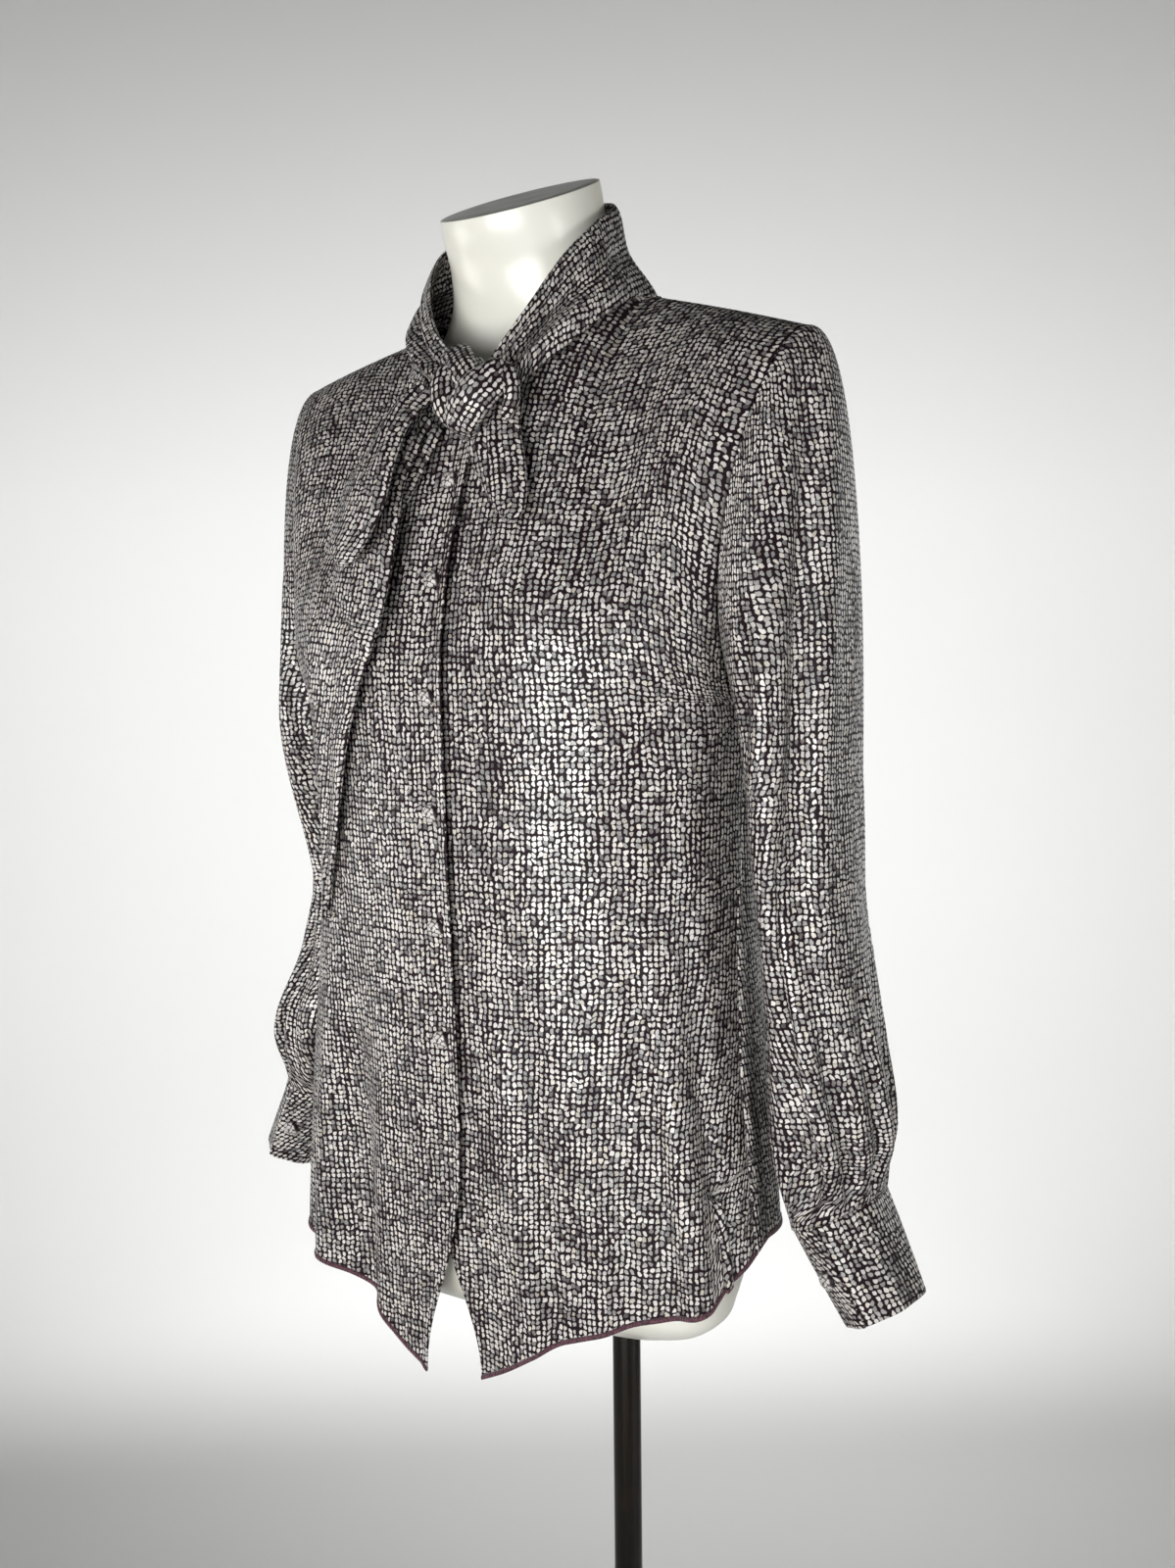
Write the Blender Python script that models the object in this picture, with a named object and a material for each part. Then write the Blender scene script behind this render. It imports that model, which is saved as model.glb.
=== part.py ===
"""A tie neck blouse with long gathered sleeves, worn by a limbless dress form on a pole stand.

Metres, +Z up, with the origin on the floor at the pole's axis. The blouse faces -Y, and +X is the
wearer's left. Shapes of the figure and the cloth are worked out in figure coordinates, measured from the
vertical line midway between the shoulder points, and placed by FIGURE_X and FIGURE_Y at the end.
"""

import math

import bmesh
import bpy
import numpy as np

# Cloth and clearances
CLOTH = 0.0018  # wall of one thickness of the blouse
TIE_CLOTH = 0.0026  # wall of the doubled tie and collar
SEAM_GAP = 0.0003  # between two pieces that are sewn together
LAP = 0.0050  # how far the left front lies under the right front

# The figure's centre line, from the pole, which stands under the form's left hip
FIGURE_X = -0.054
FIGURE_Y = -0.010

# Heights of the garment's main points
UNDERARM_Z = 1.145
SHOULDER_TIP = (0.192, 0.006, 1.369)
NECK_POINT = (0.077, 0.010, 1.402)
FRONT_NECK = (0.0, -0.066, 1.345)
BACK_NECK = (0.0, 0.060, 1.398)

# Closure: the right front laps over the left, and both swing apart below the last button
FRONT_LAP = 0.014
OPEN_TOP_Z = 0.870
RIGHT_SWING = 0.032
LEFT_SWING = 0.034

# Buttons on the right front, from the neck down, and their size
FIRST_BUTTON_Z = 1.281
SECOND_BUTTON_Z = 1.220
BUTTON_STEP = 0.0703
LOW_BUTTONS = 5
BUTTON_X = 0.002
BUTTON_RADIUS = 0.0056
BUTTON_HEIGHT = 0.0042

# Sleeves and cuffs
SLEEVE_TILT = math.radians(25)  # the cuffs swing out from the body
CUFF_DEPTH = 0.065
CUFF_FLARE = 0.84
CUFF_LEAN = math.radians(29)
RIGHT_LIFT = 0.026  # the right cuff is held higher than the left
RIGHT_TUCK = 0.009  # and the right sleeve hangs closer to the body
RIGHT_BACK = 0.018  # and further back
RIGHT_SLIM = 0.009  # and is flatter over the upper arm
PLEATS = 6
PLEAT_DEPTH = 0.0042

# How far the cloth stands out over the bust and the shoulder blades
BUST_RISE = 0.013
BLADE_RISE = 0.008

# Reach of the armholes forwards and backwards of the line from the underarm to the shoulder point
ARMHOLE_FRONT = -0.056
ARMHOLE_BACK = 0.060

# Stand
BASE_RADIUS = 0.170
BASE_THICKNESS = 0.006
BASE_EDGE = 0.0015
SOCKET_RADIUS = 0.021
SOCKET_HEIGHT = 0.045
POLE_RADIUS = 0.0095
POLE_TOP_Z = 0.7341

# Mesh counts
FRONT_COLUMNS = 12
NECK_COLUMNS = 4
TRUNK_ROWS = 10
YOKE_ROWS = 12
CAP_RINGS = 6
HANG_RINGS = 9
CUFF_RINGS = 3

HEM_COLUMNS = ("angle", "height")

# The hems of the fronts and the back, from the centre, angle 0, to the side seam
HEM = (
    (0.00, 0.712),
    (0.20, 0.729),
    (0.42, 0.751),
    (0.75, 0.769),
    (1.05, 0.783),
    (1.30, 0.794),
    (1.45, 0.803),
    (1.5708, 0.812),
)
BACK_HEM = (
    (0.00, 0.734),
    (0.42, 0.750),
    (0.75, 0.780),
    (1.05, 0.803),
    (1.30, 0.812),
    (1.5708, 0.812),
)

SECTION_COLUMNS = ("height", "half_width", "front", "side", "back")

# The cloth of the body, from the hem to the underarm
TRUNK = (
    (0.700, 0.180, -0.114, -0.018, 0.073),
    (0.800, 0.174, -0.116, -0.016, 0.079),
    (0.880, 0.166, -0.118, -0.013, 0.083),
    (0.960, 0.157, -0.121, -0.010, 0.081),
    (1.060, 0.151, -0.126, -0.007, 0.085),
    (1.145, 0.155, -0.128, -0.004, 0.090),
)

# The dress form, from its rounded bottom to the base of the neck
FORM = (
    (0.7340, 0.110, -0.070, 0.000, 0.046),
    (0.7400, 0.128, -0.085, -0.005, 0.058),
    (0.7600, 0.142, -0.097, -0.008, 0.066),
    (0.8400, 0.150, -0.101, -0.008, 0.070),
    (0.9300, 0.138, -0.098, -0.008, 0.062),
    (1.0200, 0.120, -0.090, -0.010, 0.050),
    (1.1000, 0.125, -0.098, -0.010, 0.054),
    (1.1850, 0.138, -0.112, -0.008, 0.062),
    (1.2600, 0.141, -0.086, -0.002, 0.064),
    (1.3000, 0.144, -0.060, 0.002, 0.054),
    (1.3250, 0.140, -0.044, 0.004, 0.043),
    (1.3500, 0.122, -0.034, 0.006, 0.036),
    (1.3680, 0.094, -0.036, 0.006, 0.038),
    (1.3850, 0.0735, -0.043, 0.004, 0.043),
    (1.4000, 0.060, -0.050, 0.002, 0.045),
    (1.4200, 0.054, -0.057, -0.003, 0.041),
    (1.4670, 0.051, -0.071, -0.020, 0.030),
)
NECK_SLANT = math.radians(24)

SLEEVE_COLUMNS = ("height", "centre_x", "centre_y", "half_thick", "half_depth")

# The hanging sleeve, from just under the arm to the cuff's seam
SLEEVE = (
    (1.1000, 0.1880, 0.009, 0.0285, 0.063),
    (1.0000, 0.1935, 0.011, 0.0285, 0.061),
    (0.9300, 0.2010, 0.012, 0.0310, 0.061),
    (0.8850, 0.2065, 0.013, 0.0335, 0.058),
    (0.8530, 0.2085, 0.014, 0.0325, 0.050),
    (0.8290, 0.2085, 0.014, 0.0290, 0.043),
)


def spline_table(rows, columns):
    """One smooth function for each named column, of the first column's value."""
    data = np.array(sorted(rows), float)
    knots = data[:, 0]
    steps = np.diff(knots)

    def make(values):
        slopes = np.diff(values) / steps
        tangents = np.concatenate([[slopes[0]], (slopes[1:] + slopes[:-1]) / 2, [slopes[-1]]])
        flat = slopes[1:] * slopes[:-1] <= 0
        tangents[1:-1][flat] = 0.0

        def at(where):
            where = np.clip(np.asarray(where, float), knots[0], knots[-1])
            k = np.clip(np.searchsorted(knots, where, side="right") - 1, 0, len(steps) - 1)
            h = steps[k]
            t = (where - knots[k]) / h
            start = (1 + 2 * t) * (1 - t) ** 2 * values[k] + t * (1 - t) ** 2 * h * tangents[k]
            end = t * t * (3 - 2 * t) * values[k + 1] - t * t * (1 - t) * h * tangents[k + 1]
            return start + end

        return at

    return {name: make(data[:, i]) for i, name in enumerate(columns) if i}


def ease(value, low, high):
    """0 below low, 1 above high and smooth between."""
    t = np.clip((np.asarray(value, float) - low) / (high - low), 0, 1)
    return t * t * (3 - 2 * t)


def hump(value, centre, width):
    return np.exp(-(((np.asarray(value, float) - centre) / width) ** 2))


# Solids from grids of points


def grid_normals(points, closed_rows):
    """Unit normals of a grid of points, whose rows run along axis 1 and may close on themselves."""
    if closed_rows:
        along = np.roll(points, -1, axis=1) - np.roll(points, 1, axis=1)
    else:
        along = np.gradient(points, axis=1)
    up = np.gradient(points, axis=0)
    normals = np.cross(along, up)
    lengths = np.linalg.norm(normals, axis=2, keepdims=True)
    return normals / np.maximum(lengths, 1e-12)


def wall(name, outer, inner, material, closed_rows=False):
    """One closed solid between two grids of points, joined round their open edges."""
    rows, columns, _ = outer.shape
    mesh = bmesh.new()
    sheets = [[[mesh.verts.new(p) for p in row] for row in sheet] for sheet in (outer, inner)]
    last = columns if closed_rows else columns - 1

    def quad(a, b, c, d):
        mesh.faces.new((a, b, c, d))

    for r in range(rows - 1):
        for c in range(last):
            n = (c + 1) % columns
            o, i = sheets
            quad(o[r][c], o[r][n], o[r + 1][n], o[r + 1][c])
            quad(i[r][c], i[r + 1][c], i[r + 1][n], i[r][n])
    for c in range(last):
        n = (c + 1) % columns
        o, i = sheets
        quad(o[0][c], i[0][c], i[0][n], o[0][n])
        quad(o[-1][c], o[-1][n], i[-1][n], i[-1][c])
    if not closed_rows:
        for r in range(rows - 1):
            o, i = sheets
            quad(o[r][0], o[r + 1][0], i[r + 1][0], i[r][0])
            quad(o[r][-1], i[r][-1], i[r + 1][-1], o[r + 1][-1])
    return finish(name, mesh, material)


def solid_of_rings(name, rings, material):
    """One closed solid through rings of points, with flat ends."""
    mesh = bmesh.new()
    rows = [[mesh.verts.new(p) for p in ring] for ring in rings]
    count = len(rows[0])
    for low, high in zip(rows, rows[1:]):
        for c in range(count):
            n = (c + 1) % count
            mesh.faces.new((low[c], low[n], high[n], high[c]))
    mesh.faces.new(rows[0][::-1])
    mesh.faces.new(rows[-1])
    return finish(name, mesh, material)


def finish(name, mesh, material):
    """Turns the faces outwards and makes the named object."""
    bmesh.ops.recalc_face_normals(mesh, faces=mesh.faces)
    if mesh.calc_volume(signed=True) < 0:
        bmesh.ops.reverse_faces(mesh, faces=mesh.faces)
    data = bpy.data.meshes.new(name)
    mesh.to_mesh(data)
    mesh.free()
    data.materials.append(material)
    data.shade_smooth()
    data.set_sharp_from_angle(angle=math.radians(50))
    thing = bpy.data.objects.new(name, data)
    bpy.context.scene.collection.objects.link(thing)
    return thing


def placed(points):
    """Figure coordinates to the part's own."""
    return np.asarray(points) + np.array([FIGURE_X, FIGURE_Y, 0.0])


def material(name, colour, roughness, metallic=0.0):
    made = bpy.data.materials.new(name)
    made.use_nodes = True
    shader = made.node_tree.nodes["Principled BSDF"]
    shader.inputs["Base Color"].default_value = (*colour, 1.0)
    shader.inputs["Roughness"].default_value = roughness
    shader.inputs["Metallic"].default_value = metallic
    return made


# The body of the blouse

TRUNK_AT = spline_table(TRUNK, SECTION_COLUMNS)
HEM_AT = spline_table(HEM, HEM_COLUMNS)["height"]
BACK_HEM_AT = spline_table(BACK_HEM, HEM_COLUMNS)["height"]
FRONT_SQUARENESS = 0.72
BACK_SQUARENESS = 0.78


def hem_folds(angle, height, side, back):
    """Soft lengthwise folds that start under the bust and deepen to the hem, as an outward push."""
    depth = 0.0095 * ease(-height, -1.06, -0.74)
    phase = (3.1 if side > 0 else 4.4) if back else (0.4 if side > 0 else 1.9)
    waves = np.sin(7.0 * angle + phase) + 0.45 * np.sin(12.0 * angle + 2.1 * phase)
    edge = ease(angle, 0.10, 0.45) * (1 - ease(angle, 1.02, 1.45))
    if back or side > 0:
        return depth * waves * edge
    far_fold = 0.016 * hump(angle, 0.86, 0.10) * ease(-height, -0.98, -0.76)
    return depth * waves * edge - far_fold


def trunk_point(angle, height, side, back):
    """A point of the body below the underarm. angle is 0 at the centre and a quarter turn at the seam."""
    at = {k: f(height) for k, f in TRUNK_AT.items()}
    deep, square = ("back", BACK_SQUARENESS) if back else ("front", FRONT_SQUARENESS)
    cosine = np.clip(np.cos(angle), 0, 1)
    x = at["half_width"] * np.sin(angle)
    y = at["side"] + (at[deep] - at["side"]) * cosine**square
    push = hem_folds(angle, height, side, back)
    outward = np.array([np.sin(angle), (1 if back else -1) * cosine])
    return np.array([side * (x + push * outward[0]), y + push * outward[1], height])


def armhole_point(share, back):
    """The armhole's seam from the underarm, share 0, to the shoulder point, share 1."""
    turn = math.pi * share
    low_y = float(TRUNK_AT["side"](UNDERARM_Z))
    middle_y = low_y + (SHOULDER_TIP[1] - low_y) * ease(share, 0, 1)
    reach = ARMHOLE_BACK if back else ARMHOLE_FRONT
    low_x = float(TRUNK_AT["half_width"](UNDERARM_Z))
    rise = (1 - math.cos(turn)) / 2
    x = low_x + (SHOULDER_TIP[0] - low_x) * rise - 0.008 * math.sin(turn) ** 2
    z = UNDERARM_Z + (SHOULDER_TIP[2] - UNDERARM_Z) * rise
    return np.array([x, middle_y + reach * math.sin(turn), z])


def top_edge(share, back):
    """The neckline from the centre to the neck point, then the shoulder seam out to its tip."""
    neck_share = NECK_COLUMNS / FRONT_COLUMNS
    centre = np.array(BACK_NECK if back else FRONT_NECK)
    neck = np.array(NECK_POINT)
    tip = np.array(SHOULDER_TIP)
    if share <= neck_share:
        turn = share / neck_share * math.pi / 2
        x = neck[0] * math.sin(turn)
        y = neck[1] + (centre[1] - neck[1]) * math.cos(turn) ** 0.8
        z = centre[2] + (neck[2] - centre[2]) * (1 - math.cos(turn)) ** 0.4
        return np.array([x, y, z])
    t = (share - neck_share) / (1 - neck_share)
    point = neck + (tip - neck) * t
    point[2] += 0.001 * math.sin(math.pi * t)
    return point


def body_rise(x, z, back):
    """How far back the bust or the shoulder blade moves a point of the cloth."""
    if back:
        return BLADE_RISE * hump(x, 0.080, 0.055) * hump(z, 1.270, 0.060)
    return -BUST_RISE * hump(x, 0.082, 0.058) * hump(z, 1.205, 0.050)


def panel_grid(side, back, columns):
    """Outer points of one half of the front or the back: rows from hem to shoulder."""
    grid = np.zeros((TRUNK_ROWS + YOKE_ROWS + 1, columns + 1, 3))
    for c in range(columns + 1):
        share = c / columns
        angle = share * math.pi / 2
        low = float(BACK_HEM_AT(angle) if back else HEM_AT(angle))
        for r in range(TRUNK_ROWS + 1):
            height = low + (UNDERARM_Z - low) * r / TRUNK_ROWS
            grid[r, c] = trunk_point(angle, height, side, back)
        start, stop = trunk_point(angle, UNDERARM_Z, side, back), top_edge(share, back)
        stop[0] *= side
        for r in range(1, YOKE_ROWS + 1):
            v = r / YOKE_ROWS
            turn = v * math.pi / 2
            across, rise = 1 - math.cos(turn) ** 1.6, math.sin(turn) ** 1.25
            point = start + (stop - start) * np.array([across, across, rise])
            grid[TRUNK_ROWS + r, c] = point
    shares = np.linspace(0, 1, columns + 1)
    grid[..., 1] += body_rise(np.abs(grid[..., 0]), grid[..., 2], back) * (1 - ease(shares, 0.70, 1.0))
    edge = np.array([armhole_point(r / YOKE_ROWS, back) for r in range(YOKE_ROWS + 1)])
    edge[:, 0] *= side
    miss = edge - grid[TRUNK_ROWS:, -1]
    for c in range(columns + 1):
        grid[TRUNK_ROWS:, c] += miss * float(ease(c / columns, 0.35, 1.0))
    return grid


def shared_normals():
    """Normals of the whole body of cloth, so that pieces that meet at a seam are as thick the same way."""
    found = {}
    for side in (1, -1):
        front = grid_normals(panel_grid(side, False, FRONT_COLUMNS), False) * side
        back = grid_normals(panel_grid(side, True, FRONT_COLUMNS), False) * -side
        side_seam = np.s_[: TRUNK_ROWS + 1, -1]
        shoulder_seam = np.s_[-1, NECK_COLUMNS:]
        for seam in (side_seam, shoulder_seam):
            front[seam] = back[seam] = front[seam] + back[seam]
        found[side, False] = front / np.linalg.norm(front, axis=2, keepdims=True)
        found[side, True] = back / np.linalg.norm(back, axis=2, keepdims=True)
    return found


def drawn_in(grid, sides, by):
    """The grid with its edge rows or columns moved into the piece, to leave the gap of a seam."""
    grid = grid.copy()
    for edge in sides:
        here, beside = {
            "left": (grid[:, 0], grid[:, 1]),
            "right": (grid[:, -1], grid[:, -2]),
            "top": (grid[-1], grid[-2]),
            "bottom": (grid[0], grid[1]),
        }[edge]
        step = beside - here
        here += by * step / np.linalg.norm(step, axis=1, keepdims=True)
    return grid


def front_edge_x(height, side):
    """Where a front's opening edge lies at a height, signed towards the wearer's left."""
    swing = ease(-height, -OPEN_TOP_Z, -HEM[0][1]) ** 1.2
    if side < 0:
        return FRONT_LAP - RIGHT_SWING * swing
    return -FRONT_LAP + LEFT_SWING * swing


def lapped_front(side):
    """Outer points of a front with its opening edge: the right one laps over the left."""
    grid = panel_grid(side, False, FRONT_COLUMNS)
    fade = np.clip(1 - np.arange(FRONT_COLUMNS + 1) / NECK_COLUMNS, 0, 1) ** 1.5
    for row in grid:
        across = row[:, 0] * side
        moved = across + side * front_edge_x(row[0, 2], side) * fade
        row[:, 1] = np.interp(np.abs(moved), across, row[:, 1])
        row[:, 2] = np.interp(np.abs(moved), across, row[:, 2])
        row[:, 0] = moved * side
    if side > 0:
        tuck = 1 - ease(np.arange(FRONT_COLUMNS + 1) / FRONT_COLUMNS, 0.10, 0.32)
        grid[:, :, 1] += LAP * tuck
    return grid


def front_panel(name, side, cloth, normals):
    grid = lapped_front(side)
    inner = grid - normals[(side, False)] * CLOTH
    edges = ("right", "top")
    outer = drawn_in(grid, edges, SEAM_GAP / 2)
    inner = drawn_in(inner, edges, SEAM_GAP / 2)
    return wall(name, placed(outer), placed(inner), cloth)


def back_panel(name, cloth, normals):
    left = panel_grid(1, True, FRONT_COLUMNS)
    right = panel_grid(-1, True, FRONT_COLUMNS)
    grid = np.concatenate([right[:, ::-1], left[:, 1:]], axis=1)
    normal = np.concatenate([normals[(-1, True)][:, ::-1], normals[(1, True)][:, 1:]], axis=1)
    normal[:, FRONT_COLUMNS] = normal[:, FRONT_COLUMNS + 1] + normal[:, FRONT_COLUMNS - 1]
    normal /= np.linalg.norm(normal, axis=2, keepdims=True)
    inner = grid - normal * CLOTH
    edges = ("left", "right", "top")
    outer = drawn_in(grid, edges, SEAM_GAP / 2)
    inner = drawn_in(inner, edges, SEAM_GAP / 2)
    return wall(name, placed(outer), placed(inner), cloth)


# Sleeves and cuffs

SLEEVE_AT = spline_table(SLEEVE, SLEEVE_COLUMNS)
SLEEVE_TOP_Z = SLEEVE[0][0]
CUFF_SEAM_Z = SLEEVE[-1][0]


def sleeve_ring(height, turn):
    """A point of the hanging sleeve. turn is 0 on the inner side, a quarter at the front, half outside."""
    at = {k: float(f(height)) for k, f in SLEEVE_AT.items()}
    tilt = SLEEVE_TILT * float(ease(-height, -0.90, -CUFF_SEAM_Z))
    puff = float(ease(-height, -1.02, -0.88)) * (1 - float(ease(-height, -0.87, -CUFF_SEAM_Z)))
    pleat = PLEAT_DEPTH * puff * math.cos(PLEATS * turn + 0.5)
    groove = 0.0055 * float(hump(turn, 2.15, 0.28)) * float(hump(height, 1.02, 0.13))
    a, b = at["half_thick"] + pleat - groove, at["half_depth"] + pleat - groove
    out = -a * math.cos(turn)
    x = at["centre_x"] + out * math.cos(tilt)
    z = height + out * math.sin(tilt)
    return np.array([x, at["centre_y"] - b * math.sin(turn), z])


def sleeve_grid(side):
    """Outer points of a sleeve: rings from the armhole to the cuff's seam."""
    turns = 2 * YOKE_ROWS
    rings = []
    for k in range(CAP_RINGS + HANG_RINGS + 1):
        ring = []
        for c in range(turns):
            turn = 2 * math.pi * c / turns
            back = c > YOKE_ROWS
            share = (turns - c if back else c) / YOKE_ROWS
            start = armhole_point(share, back)
            if k <= CAP_RINGS:
                stop = sleeve_ring(SLEEVE_TOP_Z, turn)
                t = k / CAP_RINGS
                high = (1 - math.cos(turn)) / 2
                bend = np.array([stop[0] + 0.002 * high, start[1], start[2] + 0.003 * high])
                low_bend = (start + stop) / 2 + np.array([0.002, 0.0, 0.0])
                bend = bend * high + low_bend * (1 - high)
                point = (1 - t) ** 2 * start + 2 * t * (1 - t) * bend + t * t * stop
            else:
                t = (k - CAP_RINGS) / HANG_RINGS
                height = SLEEVE_TOP_Z + (CUFF_SEAM_Z - SLEEVE_TOP_Z) * t
                point = sleeve_ring(height, turn)
            ring.append(point)
        rings.append(ring)
    return np.array(rings)


def mirrored(grid, side):
    """A left sleeve's points, or those of the right sleeve, which hangs a little closer and higher."""
    if side > 0:
        return grid
    moved = grid * np.array([-1.0, 1.0, 1.0])
    height = grid[..., 2]
    hang = ease(-height, -1.14, -1.00) * (1 - ease(-height, -0.95, -0.85))
    outer = ease(grid[..., 0], 0.170, 0.205)
    moved[..., 0] += RIGHT_TUCK * hang + RIGHT_SLIM * outer * hump(height, 1.190, 0.065)
    moved[..., 1] += RIGHT_BACK * hang
    moved[..., 2] += RIGHT_LIFT * ease(-height, -1.05, -0.88)
    return moved


def tube_wall(name, grid, side, thickness, gap, square_ends, cloth):
    """A closed tube of cloth whose end rings are drawn in by gap."""
    normals = grid_normals(grid, True)
    middle = grid.mean(axis=1, keepdims=True)
    if np.sum(normals * (grid - middle)) < 0:
        normals = -normals
    for end in square_ends:
        spokes = grid[end] - middle[end]
        axis = np.cross(spokes, np.roll(spokes, -1, axis=0)).sum(axis=0)
        axis /= np.linalg.norm(axis)
        normals[end] -= (normals[end] @ axis)[:, None] * axis
        normals[end] /= np.linalg.norm(normals[end], axis=1, keepdims=True)
    outer = drawn_in(grid, ("bottom", "top"), gap)
    inner = drawn_in(grid - normals * thickness, ("bottom", "top"), gap)
    return wall(name, placed(mirrored(outer, side)), placed(mirrored(inner, side)), cloth, True)


def cuff_grid():
    """Outer points of a cuff: rings along its axis, from the sleeve's end to its mouth."""
    turns = 2 * YOKE_ROWS
    top = np.array([sleeve_ring(CUFF_SEAM_Z, 2 * math.pi * c / turns) for c in range(turns)])
    centre = top.mean(axis=0)
    axis = np.array([math.sin(CUFF_LEAN), 0.0, -math.cos(CUFF_LEAN)])
    rings = []
    for k in range(CUFF_RINGS + 1):
        t = k / CUFF_RINGS
        swell = 1 + (CUFF_FLARE - 1) * t
        rings.append(centre + (top - centre) * swell + axis * CUFF_DEPTH * t)
    return np.array(rings)


# Collar and tie

COLLAR_COLUMNS = ("turn", "low_x", "low_y", "low_z", "top_x", "top_y", "top_z")

# Half of the collar, from the knot at the front, turn 0, to the centre of the back, turn 1
COLLAR = (
    (0.00, 0.0180, -0.0880, 1.3280, 0.0130, -0.0850, 1.3550),
    (0.15, 0.0410, -0.0795, 1.3430, 0.0330, -0.0765, 1.3810),
    (0.32, 0.0680, -0.0570, 1.3695, 0.0500, -0.0530, 1.4175),
    (0.50, 0.0813, -0.0200, 1.3937, 0.0595, -0.0240, 1.4440),
    (0.68, 0.0773, 0.0220, 1.4068, 0.0560, 0.0070, 1.4610),
    (0.85, 0.0470, 0.0523, 1.4094, 0.0330, 0.0290, 1.4710),
    (1.00, 0.0000, 0.0625, 1.4100, 0.0000, 0.0380, 1.4740),
)
COLLAR_HALF = 14
COLLAR_ROWS = 5
COLLAR_BULGE = 0.004  # the rolled front stands out
COLLAR_HOLLOW = 0.006  # the back stands up close to the neck and flares at its seam
COLLAR_AT = spline_table(COLLAR, COLLAR_COLUMNS)


def collar_grid():
    """Outer points of the standing collar, from the knot round the neck and back to it."""
    columns = []
    for k in range(-COLLAR_HALF, COLLAR_HALF + 1):
        turn = 1 - abs(k) / COLLAR_HALF
        side = -1 if k < 0 else 1
        at = {name: float(f(turn)) for name, f in COLLAR_AT.items()}
        low = np.array([side * at["low_x"], at["low_y"], at["low_z"]])
        top = np.array([side * at["top_x"], at["top_y"], at["top_z"]])
        low[0] += KNOT_CENTRE[0] * (1 - turn) ** 4
        top[0] += 0.6 * KNOT_CENTRE[0] * (1 - turn) ** 4
        out = np.array([low[0], low[1] + 0.005, 0.0])
        out /= np.linalg.norm(out)
        rear = float(ease(turn, 0.40, 0.62))
        column = []
        for r in range(COLLAR_ROWS + 1):
            t = r / COLLAR_ROWS
            arc = math.sin(math.pi * t)
            roll = COLLAR_BULGE * (1 - rear) * (0.3 + 0.7 * turn) * arc - COLLAR_HOLLOW * rear * arc**2
            column.append(low + (top - low) * t + out * roll)
        columns.append(column)
    return np.array(columns).transpose(1, 0, 2)


def sheet_solid(name, grid, cloth):
    """A stretch of the collar or tie, with its thickness laid behind its front face."""
    normals = grid_normals(grid, False)
    if np.sum(normals[..., 1]) > 0:
        normals = -normals
    return wall(name, placed(grid), placed(grid - normals * TIE_CLOTH), cloth)


CHEST = {side: panel_grid(side, False, FRONT_COLUMNS) for side in (1, -1)}


def chest_y(x, z):
    """The y of the right or left front's outer face at a point seen from the front."""
    grid = CHEST[1 if x > 0 else -1]
    z = min(z, FRONT_NECK[2] - 0.006)
    corners = np.stack([grid[:-1, :-1], grid[:-1, 1:], grid[1:, 1:], grid[1:, :-1]], axis=2)
    corners = corners.reshape(-1, 4, 3)
    best = None
    for picks in ((0, 1, 2), (0, 2, 3)):
        a, b, c = (corners[:, k] for k in picks)
        area = (b[:, 0] - a[:, 0]) * (c[:, 2] - a[:, 2]) - (c[:, 0] - a[:, 0]) * (b[:, 2] - a[:, 2])
        u = ((x - a[:, 0]) * (c[:, 2] - a[:, 2]) - (c[:, 0] - a[:, 0]) * (z - a[:, 2])) / area
        v = ((b[:, 0] - a[:, 0]) * (z - a[:, 2]) - (x - a[:, 0]) * (b[:, 2] - a[:, 2])) / area
        inside = np.minimum(np.minimum(u, v), 1 - u - v)
        k = int(np.argmax(inside))
        if best is None or inside[k] > best[0]:
            best = (inside[k], a[k, 1] + u[k] * (b[k, 1] - a[k, 1]) + v[k] * (c[k, 1] - a[k, 1]))
    return float(best[1])


def strip_grid(table, rows, columns, crown, ripple):
    """Outer points of a hanging stretch of the tie, between its two edges, off the chest's face."""
    at = spline_table(table, TAIL_COLUMNS)
    grid = np.zeros((rows + 1, columns + 1, 3))
    for r in range(rows + 1):
        share = r / rows
        now = {name: float(f(share)) for name, f in at.items()}
        for c in range(columns + 1):
            t = c / columns
            x = now["left_x"] + (now["right_x"] - now["left_x"]) * t
            z = now["left_z"] + (now["right_z"] - now["left_z"]) * t
            off = now["left_off"] + (now["right_off"] - now["left_off"]) * t
            off += crown * math.sin(math.pi * t) * (0.4 + 0.6 * share)
            off += ripple * math.sin(2.5 * math.pi * t + 0.6) * float(ease(share, 0.1, 0.5))
            grid[r, c] = (x, chest_y(x, z) - off, z)
    return grid


TAIL_COLUMNS = ("share", "left_x", "left_z", "left_off", "right_x", "right_z", "right_off")

# The long end on the wearer's right, whose tip hangs at the waist
LONG_END = (
    (0.00, -0.0261, 1.3264, 0.0070, -0.0084, 1.3125, 0.0070),
    (0.14, -0.0440, 1.2967, 0.0080, -0.0149, 1.2880, 0.0080),
    (0.30, -0.0974, 1.2575, 0.0060, -0.0256, 1.2473, 0.0080),
    (0.45, -0.1027, 1.2128, 0.0080, -0.0252, 1.2030, 0.0090),
    (0.60, -0.1080, 1.1626, 0.0080, -0.0417, 1.1604, 0.0090),
    (0.75, -0.1065, 1.1115, 0.0080, -0.0651, 1.1104, 0.0080),
    (0.88, -0.1058, 1.0598, 0.0060, -0.0808, 1.0604, 0.0060),
    (1.00, -0.1090, 1.0030, 0.0032, -0.1036, 1.0038, 0.0032),
)

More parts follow.
